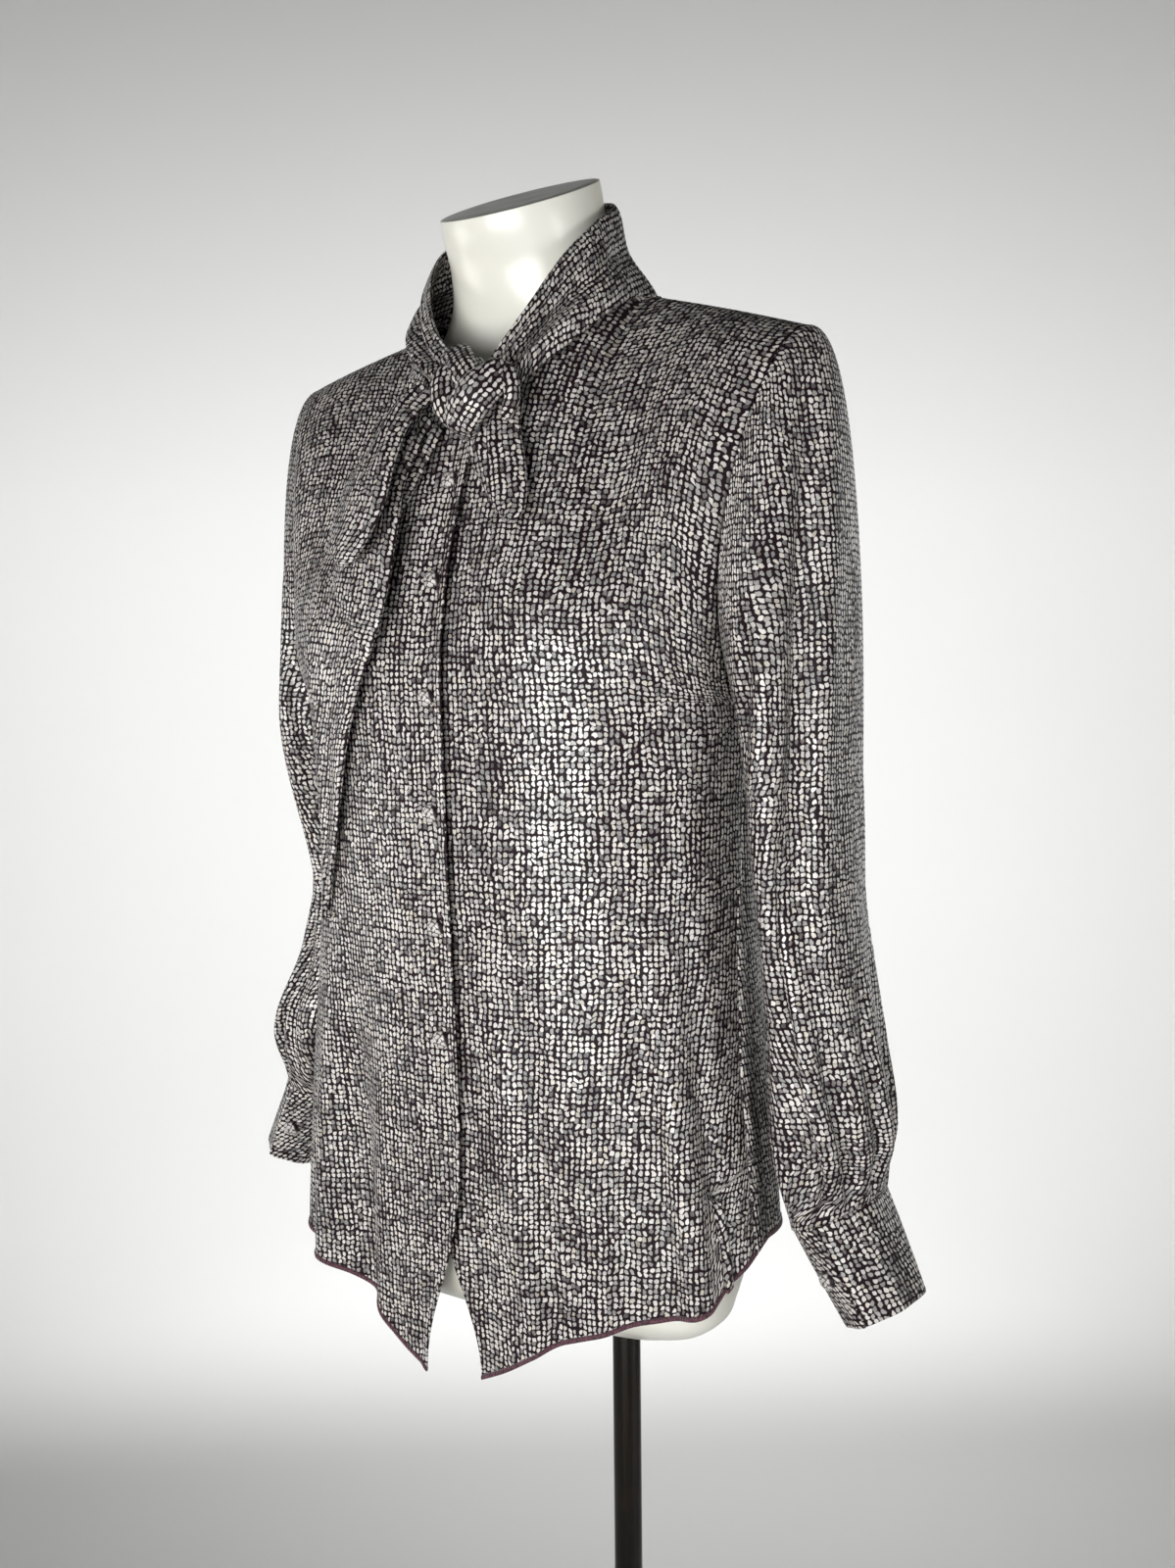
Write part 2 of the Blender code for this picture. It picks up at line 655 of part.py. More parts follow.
# The second fold, over the long end
FOLD = (
    (0.00, -0.0365, 1.3205, 0.0132, -0.0137, 1.3087, 0.0162),
    (0.25, -0.0553, 1.2848, 0.0142, -0.0183, 1.2787, 0.0192),
    (0.50, -0.0785, 1.2524, 0.0142, -0.0157, 1.2437, 0.0202),
    (0.72, -0.0725, 1.2201, 0.0132, -0.0166, 1.2120, 0.0192),
    (0.88, -0.0528, 1.1976, 0.0132, -0.0232, 1.1899, 0.0172),
    (1.00, -0.0362, 1.1724, 0.0142, -0.0313, 1.1712, 0.0152),
)

# The loop over both, whose rolled edge stands away from the chest
LOOP = (
    (0.00, -0.0325, 1.3472, 0.0200, -0.0064, 1.3356, 0.0220),
    (0.18, -0.0441, 1.3265, 0.0230, -0.0136, 1.3192, 0.0310),
    (0.40, -0.0561, 1.3014, 0.0250, -0.0149, 1.2962, 0.0360),
    (0.62, -0.0802, 1.2773, 0.0260, -0.0144, 1.2703, 0.0380),
    (0.80, -0.0782, 1.2536, 0.0260, -0.0223, 1.2472, 0.0360),
    (0.92, -0.0661, 1.2383, 0.0260, -0.0321, 1.2338, 0.0330),
    (1.00, -0.0484, 1.2294, 0.0270, -0.0390, 1.2289, 0.0290),
)

# The short end on the wearer's left
SHORT_END = (
    (0.00, 0.0156, 1.3035, 0.0120, 0.0489, 1.3033, 0.0140),
    (0.30, 0.0248, 1.2878, 0.0100, 0.0580, 1.2917, 0.0140),
    (0.60, 0.0349, 1.2713, 0.0090, 0.0639, 1.2744, 0.0130),
    (0.85, 0.0462, 1.2584, 0.0080, 0.0642, 1.2611, 0.0110),
    (1.00, 0.0545, 1.2527, 0.0090, 0.0611, 1.2530, 0.0100),
)

KNOT_CENTRE = (0.0170, -0.1010, 1.3300)
KNOT_HALF = (0.0235, 0.0160, 0.0255)
KNOT_LEAN = math.radians(-25)


def knot(name, cloth):
    """The wrapped knot, a soft pinched ball leaning along its wrap."""
    rings, turns = 8, 16
    grid = []
    for r in range(1, rings):
        rise = math.pi * r / rings - math.pi / 2
        ring = []
        for c in range(turns):
            turn = 2 * math.pi * c / turns
            pinch = 1 + 0.07 * math.cos(3 * turn + 1.4) * math.cos(rise)
            x = KNOT_HALF[0] * math.cos(rise) ** 0.8 * math.cos(turn) * pinch
            y = KNOT_HALF[1] * math.cos(rise) ** 0.8 * math.sin(turn) * pinch
            z = KNOT_HALF[2] * math.sin(rise)
            lean_x = x * math.cos(KNOT_LEAN) + z * math.sin(KNOT_LEAN)
            lean_z = -x * math.sin(KNOT_LEAN) + z * math.cos(KNOT_LEAN)
            ring.append((KNOT_CENTRE[0] + lean_x, KNOT_CENTRE[1] + y, KNOT_CENTRE[2] + lean_z))
        grid.append(ring)
    return solid_of_rings(name, placed(grid), cloth)


# Buttons


def button(name, centre, outward, cloth):
    """A domed button with a flat back, its axis along outward."""
    mesh = bmesh.new()
    outward = np.array(outward) / np.linalg.norm(outward)
    across = np.cross(outward, [0.0, 0.0, 1.0])
    across /= np.linalg.norm(across)
    up = np.cross(across, outward)
    profile = ((0.86, 0.0), (1.0, 0.22), (0.90, 0.62), (0.55, 0.93))
    turns = 12
    rings = []
    for radius, height in profile:
        ring = []
        for c in range(turns):
            turn = 2 * math.pi * c / turns
            flat = across * math.cos(turn) + up * math.sin(turn)
            point = np.array(centre) + flat * radius * BUTTON_RADIUS + outward * height * BUTTON_HEIGHT
            ring.append(mesh.verts.new(placed(point)))
        rings.append(ring)
    crown = mesh.verts.new(placed(np.array(centre) + outward * BUTTON_HEIGHT))
    for low, high in zip(rings, rings[1:]):
        for c in range(turns):
            n = (c + 1) % turns
            mesh.faces.new((low[c], low[n], high[n], high[c]))
    for c in range(turns):
        mesh.faces.new((rings[-1][c], rings[-1][(c + 1) % turns], crown))
    mesh.faces.new(rings[0][::-1])
    return finish(name, mesh, cloth)


def front_buttons(cloth):
    """Buttons near the centre line, each just clear of the cloth's most outward point under it."""
    offsets = np.linspace(-BUTTON_RADIUS, BUTTON_RADIUS, 7)
    heights = [FIRST_BUTTON_Z] + [SECOND_BUTTON_Z - BUTTON_STEP * k for k in range(LOW_BUTTONS)]
    grid = lapped_front(-1)
    for k, height in enumerate(heights):
        edge_x, edge_y, beside_x, beside_y = [
            np.interp(height + offsets, grid[:, column, 2], grid[:, column, axis])
            for column in (0, 1)
            for axis in (0, 1)
        ]
        shares = (BUTTON_X + offsets[:, None] - edge_x) / (beside_x - edge_x)
        faces = edge_y + (beside_y - edge_y) * shares
        slope = float(np.mean(faces[:, -1] - faces[:, 0])) / (2 * BUTTON_RADIUS)
        face = float(np.min(faces - slope * offsets))
        outward = np.array([0.0, -1.0, slope])
        outward /= np.linalg.norm(outward)
        centre = np.array([BUTTON_X, face, height]) + outward * SEAM_GAP
        button(f"button_{k + 1}", centre, outward, cloth)


def cuff_button(name, side, cloth):
    """One button near the cuff's front edge, halfway along its depth."""
    turns = 2 * YOKE_ROWS
    grid = cuff_grid()
    normals = grid_normals(grid, True)
    if np.sum(normals * (grid - grid.mean(axis=1, keepdims=True))) < 0:
        normals = -normals
    column = turns // 4 - 1
    point = (grid[1, column] + grid[2, column]) / 2
    normal = normals[1, column] + normals[2, column]
    normal /= np.linalg.norm(normal)
    middle = mirrored(point + normal * SEAM_GAP, side)
    button(name, middle, normal * np.array([side, 1.0, 1.0]), cloth)


# The dress form and its stand

FORM_AT = spline_table(FORM, SECTION_COLUMNS)
FORM_TURNS = 32
FORM_HEIGHTS = 26
NECK_START_Z = 1.41  # above this the neck tilts to its slanted top
FORM_ARCH = 0.022  # the bottom edge rises at the front


def form_ring(height, tilt):
    """The form's section at a height, turned about the side axis by tilt."""
    at = {k: float(f(height)) for k, f in FORM_AT.items()}
    ring = []
    for c in range(FORM_TURNS):
        angle = 2 * math.pi * c / FORM_TURNS
        deep = at["front"] if math.cos(angle) > 0 else at["back"]
        x = at["half_width"] * math.sin(angle)
        y = at["side"] + (deep - at["side"]) * abs(math.cos(angle)) ** 0.9
        ring.append((x, y, height + math.tan(tilt) * (y - at["side"])))
    return ring


def dress_form(name, shell):
    """The limbless form: a closed solid from its rounded bottom to its slanted neck plate."""
    knots = np.array([row[0] for row in FORM])
    heights = np.interp(np.linspace(0, len(FORM) - 1, FORM_HEIGHTS), np.arange(len(FORM)), knots)
    rings = []
    for height in heights:
        ring = form_ring(height, NECK_SLANT * float(ease(height, NECK_START_Z, knots[-1])))
        arch = FORM_ARCH * (1 - float(ease(height, knots[0], 0.800)))
        rings.append([(x, y, z + arch * float(ease(-y, 0.02, 0.10))) for x, y, z in ring])
    return solid_of_rings(name, placed(rings), shell)


def disc_solid(name, radius, low, high, edge, turns, metal):
    """A round solid on the pole's axis with bevelled edges."""
    steps = ((radius - edge, low), (radius, low + edge), (radius, high - edge), (radius - edge, high))
    rings = []
    for r, z in steps:
        turn = [2 * math.pi * c / turns for c in range(turns)]
        rings.append([(r * math.cos(t), r * math.sin(t), z) for t in turn])
    return solid_of_rings(name, rings, metal)


def stand(metal, steel):
    disc_solid("stand_base", BASE_RADIUS, 0.0, BASE_THICKNESS, BASE_EDGE, 48, steel)
    socket_low = BASE_THICKNESS + SEAM_GAP
    socket_high = socket_low + SOCKET_HEIGHT
    disc_solid("stand_socket", SOCKET_RADIUS, socket_low, socket_high, BASE_EDGE, 24, metal)
    pole_low = socket_high + SEAM_GAP
    disc_solid("stand_pole", POLE_RADIUS, pole_low, POLE_TOP_Z, 0.0005, 16, metal)


def clear_scene():
    for thing in list(bpy.data.objects):
        bpy.data.objects.remove(thing)


def main():
    clear_scene()
    cloth = material("printed_silk", (0.36, 0.34, 0.33), 0.42)
    shell = material("form_shell", (0.86, 0.85, 0.81), 0.22)
    metal = material("pole_metal", (0.045, 0.032, 0.026), 0.25, 0.8)
    steel = material("base_steel", (0.045, 0.032, 0.026), 0.35, 0.8)
    normals = shared_normals()
    front_panel("front_right", -1, cloth, normals)
    front_panel("front_left", 1, cloth, normals)
    back_panel("back", cloth, normals)
    for word, side in (("left", 1), ("right", -1)):
        tube_wall(f"sleeve_{word}", sleeve_grid(side), side, CLOTH, 3 * SEAM_GAP, (-1,), cloth)
        tube_wall(f"cuff_{word}", cuff_grid(), side, TIE_CLOTH, 0.0, (0, -1), cloth)
        cuff_button(f"cuff_button_{word}", side, cloth)
    sheet_solid("collar", collar_grid(), cloth)
    sheet_solid("tie_end_right", strip_grid(LONG_END, 14, 6, 0.0015, 0.0015), cloth)
    sheet_solid("tie_fold_right", strip_grid(FOLD, 8, 5, 0.002, 0.0), cloth)
    sheet_solid("tie_loop_right", strip_grid(LOOP, 10, 6, 0.006, 0.0), cloth)
    sheet_solid("tie_end_left", strip_grid(SHORT_END, 8, 5, 0.006, 0.0), cloth)
    knot("tie_knot", cloth)
    front_buttons(cloth)
    dress_form("dress_form", shell)
    stand(metal, steel)


main()
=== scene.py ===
"""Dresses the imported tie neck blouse: printed silk with its folds, covered buttons, the form and its stand.

Metres, +Z up, on the frame's own origin. Shapes are worked out in figure coordinates, as the solids are:
the blouse faces -Y and +X is the wearer's left.
"""

import math

import bpy
import numpy as np
from mathutils import Matrix, Vector


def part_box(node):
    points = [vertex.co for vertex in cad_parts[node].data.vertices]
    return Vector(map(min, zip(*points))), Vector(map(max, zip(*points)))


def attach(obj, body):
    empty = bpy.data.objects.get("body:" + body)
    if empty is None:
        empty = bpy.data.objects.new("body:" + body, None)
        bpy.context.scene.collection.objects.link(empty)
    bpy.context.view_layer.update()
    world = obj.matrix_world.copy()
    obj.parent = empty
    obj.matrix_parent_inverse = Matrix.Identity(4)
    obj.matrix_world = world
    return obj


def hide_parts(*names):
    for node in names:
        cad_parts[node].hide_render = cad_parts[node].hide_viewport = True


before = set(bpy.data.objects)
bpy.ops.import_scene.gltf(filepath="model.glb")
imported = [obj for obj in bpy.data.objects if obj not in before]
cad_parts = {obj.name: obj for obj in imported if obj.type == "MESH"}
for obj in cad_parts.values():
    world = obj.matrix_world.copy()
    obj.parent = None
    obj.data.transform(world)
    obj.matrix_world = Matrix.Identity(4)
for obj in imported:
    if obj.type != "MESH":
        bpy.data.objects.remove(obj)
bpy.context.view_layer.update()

bl_info = {
    "name": "Tie neck blouse on a dress form",
    "version": (1, 0, 0),
    "blender": (4, 5, 0),
    "location": "3D View > Sidebar > Blouse",
    "description": "Builds the silk, tie, buttons, dress form and stand around the packed model",
    "category": "Object",
}

# The figure's centre line, from the pole
FIGURE = np.array([-0.054, -0.010, 0.0])

# The body's main points, as in the solids
UNDERARM_Z = 1.145
SHOULDER_TIP = (0.192, 0.006, 1.369)
NECK_POINT = (0.077, 0.010, 1.402)
FRONT_NECK = (0.0, -0.066, 1.345)
BACK_NECK = (0.0, 0.060, 1.398)
NECK_SHARE = 1 / 3
FRONT_LAP = 0.014
LAP = 0.0050
OPEN_TOP_Z = 0.870
RIGHT_SWING = 0.032
LEFT_SWING = 0.034
SEAM_GAP = 0.0003
# The rise over the bust and the shoulder blades, with its centre and width across and in height
BUST_RISE = 0.013
BUST_ACROSS = (0.082, 0.058)
BUST_HEIGHT = (1.205, 0.050)
BLADE_RISE = 0.008
BLADE_ACROSS = (0.080, 0.055)
BLADE_HEIGHT = (1.270, 0.060)
ARMHOLE_FRONT = -0.056
ARMHOLE_BACK = 0.060
FRONT_SQUARENESS = 0.72
BACK_SQUARENESS = 0.78

# Sleeves and cuffs, as in the solids
SLEEVE_TILT = math.radians(25)
CUFF_DEPTH = 0.065
CUFF_FLARE = 0.84
CUFF_LEAN = math.radians(29)
RIGHT_LIFT = 0.026
RIGHT_TUCK = 0.009
RIGHT_BACK = 0.018
RIGHT_SLIM = 0.009
PLEATS = 6
PLEAT_DEPTH = 0.0042

# The hem's height round the body, from the centre to the side seam
HEM_COLUMNS = ("angle", "height")
HEM = (
    (0.00, 0.712),
    (0.20, 0.729),
    (0.42, 0.751),
    (0.75, 0.769),
    (1.05, 0.783),
    (1.30, 0.794),
    (1.45, 0.803),
    (1.5708, 0.812),
)
BACK_HEM = (
    (0.00, 0.734),
    (0.42, 0.750),
    (0.75, 0.780),
    (1.05, 0.803),
    (1.30, 0.812),
    (1.5708, 0.812),
)

# Level sections of the blouse's body and of the dress form
SECTION_COLUMNS = ("height", "half_width", "front", "side", "back")
TRUNK = (
    (0.700, 0.180, -0.114, -0.018, 0.073),
    (0.800, 0.174, -0.116, -0.016, 0.079),
    (0.880, 0.166, -0.118, -0.013, 0.083),
    (0.960, 0.157, -0.121, -0.010, 0.081),
    (1.060, 0.151, -0.126, -0.007, 0.085),
    (1.145, 0.155, -0.128, -0.004, 0.090),
)

FORM = (
    (0.7340, 0.110, -0.070, 0.000, 0.046),
    (0.7400, 0.128, -0.085, -0.005, 0.058),
    (0.7600, 0.142, -0.097, -0.008, 0.066),
    (0.8400, 0.150, -0.101, -0.008, 0.070),
    (0.9300, 0.138, -0.098, -0.008, 0.062),
    (1.0200, 0.120, -0.090, -0.010, 0.050),
    (1.1000, 0.125, -0.098, -0.010, 0.054),
    (1.1850, 0.138, -0.112, -0.008, 0.062),
    (1.2600, 0.141, -0.086, -0.002, 0.064),
    (1.3000, 0.144, -0.060, 0.002, 0.054),
    (1.3250, 0.140, -0.044, 0.004, 0.043),
    (1.3500, 0.122, -0.034, 0.006, 0.036),
    (1.3680, 0.094, -0.036, 0.006, 0.038),
    (1.3850, 0.0735, -0.043, 0.004, 0.043),
    (1.4000, 0.060, -0.050, 0.002, 0.045),
    (1.4200, 0.054, -0.057, -0.003, 0.041),
    (1.4670, 0.051, -0.071, -0.020, 0.030),
)
NECK_SLANT = math.radians(24)
NECK_START_Z = 1.41
FORM_ARCH = 0.022

SLEEVE_COLUMNS = ("height", "centre_x", "centre_y", "half_thick", "half_depth")
SLEEVE = (
    (1.1000, 0.1880, 0.009, 0.0285, 0.063),
    (1.0000, 0.1935, 0.011, 0.0285, 0.061),
    (0.9300, 0.2010, 0.012, 0.0310, 0.061),
    (0.8850, 0.2065, 0.013, 0.0335, 0.058),
    (0.8530, 0.2085, 0.014, 0.0325, 0.050),
    (0.8290, 0.2085, 0.014, 0.0290, 0.043),
)

# The collar's two edges, from the knot, turn 0, to the middle of the back, turn 1
COLLAR_COLUMNS = ("turn", "low_x", "low_y", "low_z", "top_x", "top_y", "top_z")
COLLAR = (
    (0.00, 0.0180, -0.0880, 1.3280, 0.0130, -0.0850, 1.3550),
    (0.15, 0.0410, -0.0795, 1.3430, 0.0330, -0.0765, 1.3810),
    (0.32, 0.0680, -0.0570, 1.3695, 0.0500, -0.0530, 1.4175),
    (0.50, 0.0813, -0.0200, 1.3937, 0.0595, -0.0240, 1.4440),
    (0.68, 0.0773, 0.0220, 1.4068, 0.0560, 0.0070, 1.4610),
    (0.85, 0.0470, 0.0523, 1.4094, 0.0330, 0.0290, 1.4710),
    (1.00, 0.0000, 0.0625, 1.4100, 0.0000, 0.0380, 1.4740),
)
COLLAR_BULGE = 0.004
COLLAR_HOLLOW = 0.006

# The tie's hanging stretches: both edges as seen from the front and how far they stand off the chest
TAIL_COLUMNS = ("share", "left_x", "left_z", "left_off", "right_x", "right_z", "right_off")
LONG_END = (
    (0.00, -0.0261, 1.3264, 0.0070, -0.0084, 1.3125, 0.0070),
    (0.14, -0.0440, 1.2967, 0.0080, -0.0149, 1.2880, 0.0080),
    (0.30, -0.0974, 1.2575, 0.0060, -0.0256, 1.2473, 0.0080),
    (0.45, -0.1027, 1.2128, 0.0080, -0.0252, 1.2030, 0.0090),
    (0.60, -0.1080, 1.1626, 0.0080, -0.0417, 1.1604, 0.0090),
    (0.75, -0.1065, 1.1115, 0.0080, -0.0651, 1.1104, 0.0080),
    (0.88, -0.1058, 1.0598, 0.0060, -0.0808, 1.0604, 0.0060),
    (1.00, -0.1090, 1.0030, 0.0032, -0.1036, 1.0038, 0.0032),
)
FOLD = (
    (0.00, -0.0365, 1.3205, 0.0132, -0.0137, 1.3087, 0.0162),
    (0.25, -0.0553, 1.2848, 0.0142, -0.0183, 1.2787, 0.0192),
    (0.50, -0.0785, 1.2524, 0.0142, -0.0157, 1.2437, 0.0202),
    (0.72, -0.0725, 1.2201, 0.0132, -0.0166, 1.2120, 0.0192),
    (0.88, -0.0528, 1.1976, 0.0132, -0.0232, 1.1899, 0.0172),
    (1.00, -0.0362, 1.1724, 0.0142, -0.0313, 1.1712, 0.0152),
)
LOOP = (
    (0.00, -0.0325, 1.3472, 0.0200, -0.0064, 1.3356, 0.0220),
    (0.18, -0.0441, 1.3265, 0.0230, -0.0136, 1.3192, 0.0310),
    (0.40, -0.0561, 1.3014, 0.0250, -0.0149, 1.2962, 0.0360),
    (0.62, -0.0802, 1.2773, 0.0260, -0.0144, 1.2703, 0.0380),
    (0.80, -0.0782, 1.2536, 0.0260, -0.0223, 1.2472, 0.0360),
    (0.92, -0.0661, 1.2383, 0.0260, -0.0321, 1.2338, 0.0330),
    (1.00, -0.0484, 1.2294, 0.0270, -0.0390, 1.2289, 0.0290),
)
SHORT_END = (
    (0.00, 0.0260, 1.3290, 0.0100, 0.0500, 1.3280, 0.0120),
    (0.22, 0.0160, 1.3080, 0.0120, 0.0535, 1.3090, 0.0150),
    (0.42, 0.0210, 1.2930, 0.0105, 0.0580, 1.2950, 0.0150),
    (0.62, 0.0300, 1.2790, 0.0095, 0.0620, 1.2810, 0.0140),
    (0.80, 0.0405, 1.2650, 0.0085, 0.0642, 1.2670, 0.0120),
    (0.93, 0.0490, 1.2560, 0.0085, 0.0640, 1.2575, 0.0110),
    (1.00, 0.0545, 1.2527, 0.0090, 0.0611, 1.2530, 0.0100),
)
KNOT_CENTRE = (0.0170, -0.1010, 1.3300)

# Creases of a panel, in its share of width from the centre and in height; a trough's depth is negative
CREASE_COLUMNS = ("share_0", "z_0", "share_1", "z_1", "bow", "width", "depth")
LEFT_FRONT_CREASES = (
    (0.20, 0.66, 0.17, 0.96, 0.03, 0.012, 0.0045),
    (0.30, 0.68, 0.25, 0.98, -0.02, 0.010, -0.0040),
    (0.42, 0.68, 0.36, 0.94, 0.02, 0.013, 0.0040),
    (0.60, 0.70, 0.56, 1.02, 0.02, 0.008, -0.0055),
    (0.66, 0.70, 0.62, 1.00, 0.01, 0.010, 0.0045),
    (0.80, 0.72, 0.78, 1.05, -0.02, 0.012, -0.0035),
    (0.42, 1.37, 0.20, 1.22, 0.05, 0.014, 0.0022),
    (0.52, 1.37, 0.34, 1.20, 0.06, 0.012, -0.0022),
    (0.88, 1.16, 0.50, 1.05, -0.06, 0.010, -0.0020),
    (0.92, 1.14, 0.66, 1.10, -0.04, 0.009, 0.0020),
)
RIGHT_FRONT_CREASES = (
    (0.18, 0.66, 0.22, 0.92, 0.02, 0.012, 0.0035),
    (0.30, 0.66, 0.36, 0.98, -0.02, 0.010, -0.0035),
    (0.44, 0.68, 0.46, 0.96, 0.02, 0.013, 0.0045),
    (0.70, 0.70, 0.66, 0.96, 0.02, 0.012, 0.0035),
    (0.42, 1.37, 0.26, 1.24, -0.05, 0.012, -0.0020),
    (0.90, 1.15, 0.56, 1.08, 0.05, 0.010, -0.0020),
)
BACK_CREASES = (
    (0.12, 0.68, 0.10, 1.00, 0.02, 0.014, 0.0035),
    (0.26, 0.84, 0.22, 1.02, -0.03, 0.012, -0.0040),
    (0.42, 0.70, 0.38, 0.96, 0.02, 0.013, 0.0040),
    (0.60, 0.72, 0.52, 1.06, 0.03, 0.012, -0.0040),
    (0.76, 0.74, 0.72, 0.98, -0.02, 0.012, 0.0040),
    (0.92, 1.16, 0.60, 1.04, 0.04, 0.011, -0.0025),
    (0.56, 1.36, 0.42, 1.22, 0.04, 0.014, -0.0018),
    (0.90, 1.18, 0.72, 1.12, -0.02, 0.010, 0.0022),
)

# Creases of a sleeve, in turns round it from its inner side and in height
SLEEVE_CREASES = (
    (0.430, 1.345, 0.350, 1.00, -0.012, 0.0080, -0.0130),
    (0.460, 1.330, 0.400, 1.04, -0.006, 0.0110, 0.0050),
    (0.340, 1.10, 0.250, 0.86, -0.020, 0.0090, -0.0080),
    (0.300, 1.24, 0.190, 1.08, 0.020, 0.0110, 0.0050),
    (0.250, 1.20, 0.160, 1.10, 0.015, 0.0080, -0.0045),
    (0.540, 1.06, 0.620, 0.86, 0.020, 0.0100, -0.0050),
    (0.700, 1.24, 0.640, 0.98, -0.030, 0.0100, -0.0070),
    (0.820, 1.18, 0.760, 0.90, 0.020, 0.0120, 0.0050),
    (0.100, 1.05, 0.160, 0.88, 0.020, 0.0100, -0.0050),
    (0.485, 0.985, 0.455, 0.81, 0.000, 0.0050, -0.0085),
    (0.420, 0.92, 0.425, 0.81, 0.000, 0.0060, 0.0035),
    (0.360, 0.95, 0.385, 0.81, 0.010, 0.0050, -0.0080),
    (0.270, 0.91, 0.300, 0.81, 0.010, 0.0050, -0.0065),
    (0.560, 0.90, 0.545, 0.81, 0.000, 0.0050, -0.0060),
    (0.640, 0.94, 0.610, 0.81, 0.000, 0.0055, -0.0075),
    (0.740, 0.92, 0.720, 0.81, 0.010, 0.0055, -0.0070),
    (0.900, 0.91, 0.890, 0.81, 0.010, 0.0055, -0.0060),
    (0.050, 0.90, 0.080, 0.81, 0.010, 0.0050, -0.0055),
)

# The camera: its place, the way it looks and its turn about that
CAMERA_AT = (0.5405, -0.8815, 1.174)
CAMERA_TURN = math.radians(32.76)
CAMERA_PITCH = math.radians(4.69)
CAMERA_ROLL = math.radians(0.63)
CAMERA_LENS = 36.0


# What a user would change


def length(name, default, description):
    return bpy.props.FloatProperty(name=name, default=default, description=description, unit="LENGTH")


def colour(name, default, description):
    return bpy.props.FloatVectorProperty(
        name=name, default=default, description=description, subtype="COLOR"
    )


class BlouseSizes(bpy.types.PropertyGroup):
    """Sizes of the blouse's cloth, print and trimmings."""

    cloth: length("Cloth", 0.0010, "Thickness of one layer as built")
    cell_width: length("Cell width", 0.0037, "Width of one cell of the print")
    cell_height: length("Cell height", 0.0036, "Height of one cell of the print")
    crease_depth: bpy.props.FloatProperty(
        name="Creases",
        default=1.0,
        description="Depth of the creases, as a share of the drawn ones",
        subtype="FACTOR",
    )
    overlock: length("Overlock", 0.0034, "Width of the overlocked edge of the hem")
    button_radius: length("Button radius", 0.0056, "Radius of a covered button")
    button_height: length("Button height", 0.0042, "Height of a covered button's dome")


class BlouseColours(bpy.types.PropertyGroup):
    """Colours of the print, the thread, the form and its stand."""

    pale_cell: colour("Pale cell", (0.66, 0.63, 0.60), "The palest cells of the print")
    grey_cell: colour("Grey cell", (0.22, 0.215, 0.21), "The greyest cells of the print")
    net_line: colour("Net line", (0.012, 0.005, 0.008), "The dark net between the cells")
    thread: colour("Thread", (0.060, 0.016, 0.026), "Overlock and buttonhole thread")
    form_shell: colour("Form", (0.88, 0.87, 0.79), "The dress form's glossy shell")
    # Painted shade: the neck plate's grey is darker than the shell's because its top faces upwards.
    shaded_neck_plate: colour("Neck plate", (0.76, 0.76, 0.69), "The flat top of the form's neck")
    bronze: colour("Bronze", (0.013, 0.010, 0.008), "The pole and the base")
    backdrop: colour("Backdrop", (0.78, 0.78, 0.77), "The floor and the wall")


def sizes():
    return bpy.context.scene.blouse_sizes


def colours():
    return bpy.context.scene.blouse_colours


# Smooth functions


def spline_table(rows, columns):
    """One smooth function for each named column, of the first column's value."""
    data = np.array(sorted(rows), float)
    knots = data[:, 0]
    steps = np.diff(knots)

    def make(values):
        slopes = np.diff(values) / steps
        tangents = np.concatenate([[slopes[0]], (slopes[1:] + slopes[:-1]) / 2, [slopes[-1]]])
        flat = slopes[1:] * slopes[:-1] <= 0
        tangents[1:-1][flat] = 0.0

        def at(where):
            where = np.clip(np.asarray(where, float), knots[0], knots[-1])
            k = np.clip(np.searchsorted(knots, where, side="right") - 1, 0, len(steps) - 1)
            h = steps[k]
            t = (where - knots[k]) / h
            start = (1 + 2 * t) * (1 - t) ** 2 * values[k] + t * (1 - t) ** 2 * h * tangents[k]
            end = t * t * (3 - 2 * t) * values[k + 1] - t * t * (1 - t) * h * tangents[k + 1]
            return start + end

        return at

    return {name: make(data[:, i]) for i, name in enumerate(columns) if i}


def ease(value, low, high):
    """0 below low, 1 above high and smooth between."""
    t = np.clip((np.asarray(value, float) - low) / (high - low), 0, 1)
    return t * t * (3 - 2 * t)


def hump(value, centre, width):
    """1 at the centre, falling smoothly to 0 on both sides."""
    return np.exp(-(((np.asarray(value, float) - centre) / width) ** 2))


def unit(vectors):
    """Vectors of length 1 that point the same way."""
    return vectors / np.linalg.norm(vectors, axis=-1, keepdims=True)


def grid_normals(points, closed_rows):
    """Unit normals of a grid of points, whose rows run along axis 1 and may close on themselves."""
    if closed_rows:
        along = np.roll(points, -1, axis=1) - np.roll(points, 1, axis=1)
    else:
        along = np.gradient(points, axis=1)
    up = np.gradient(points, axis=0)
    normals = np.cross(along, up)
    lengths = np.linalg.norm(normals, axis=2, keepdims=True)
    return normals / np.maximum(lengths, 1e-12)


def run_lengths(points, axis):
    """Distance along each row or column of a grid from its start."""
    steps = np.linalg.norm(np.diff(points, axis=axis), axis=2)
    total = np.cumsum(steps, axis=axis)
    return np.insert(total, 0, 0.0, axis=axis)


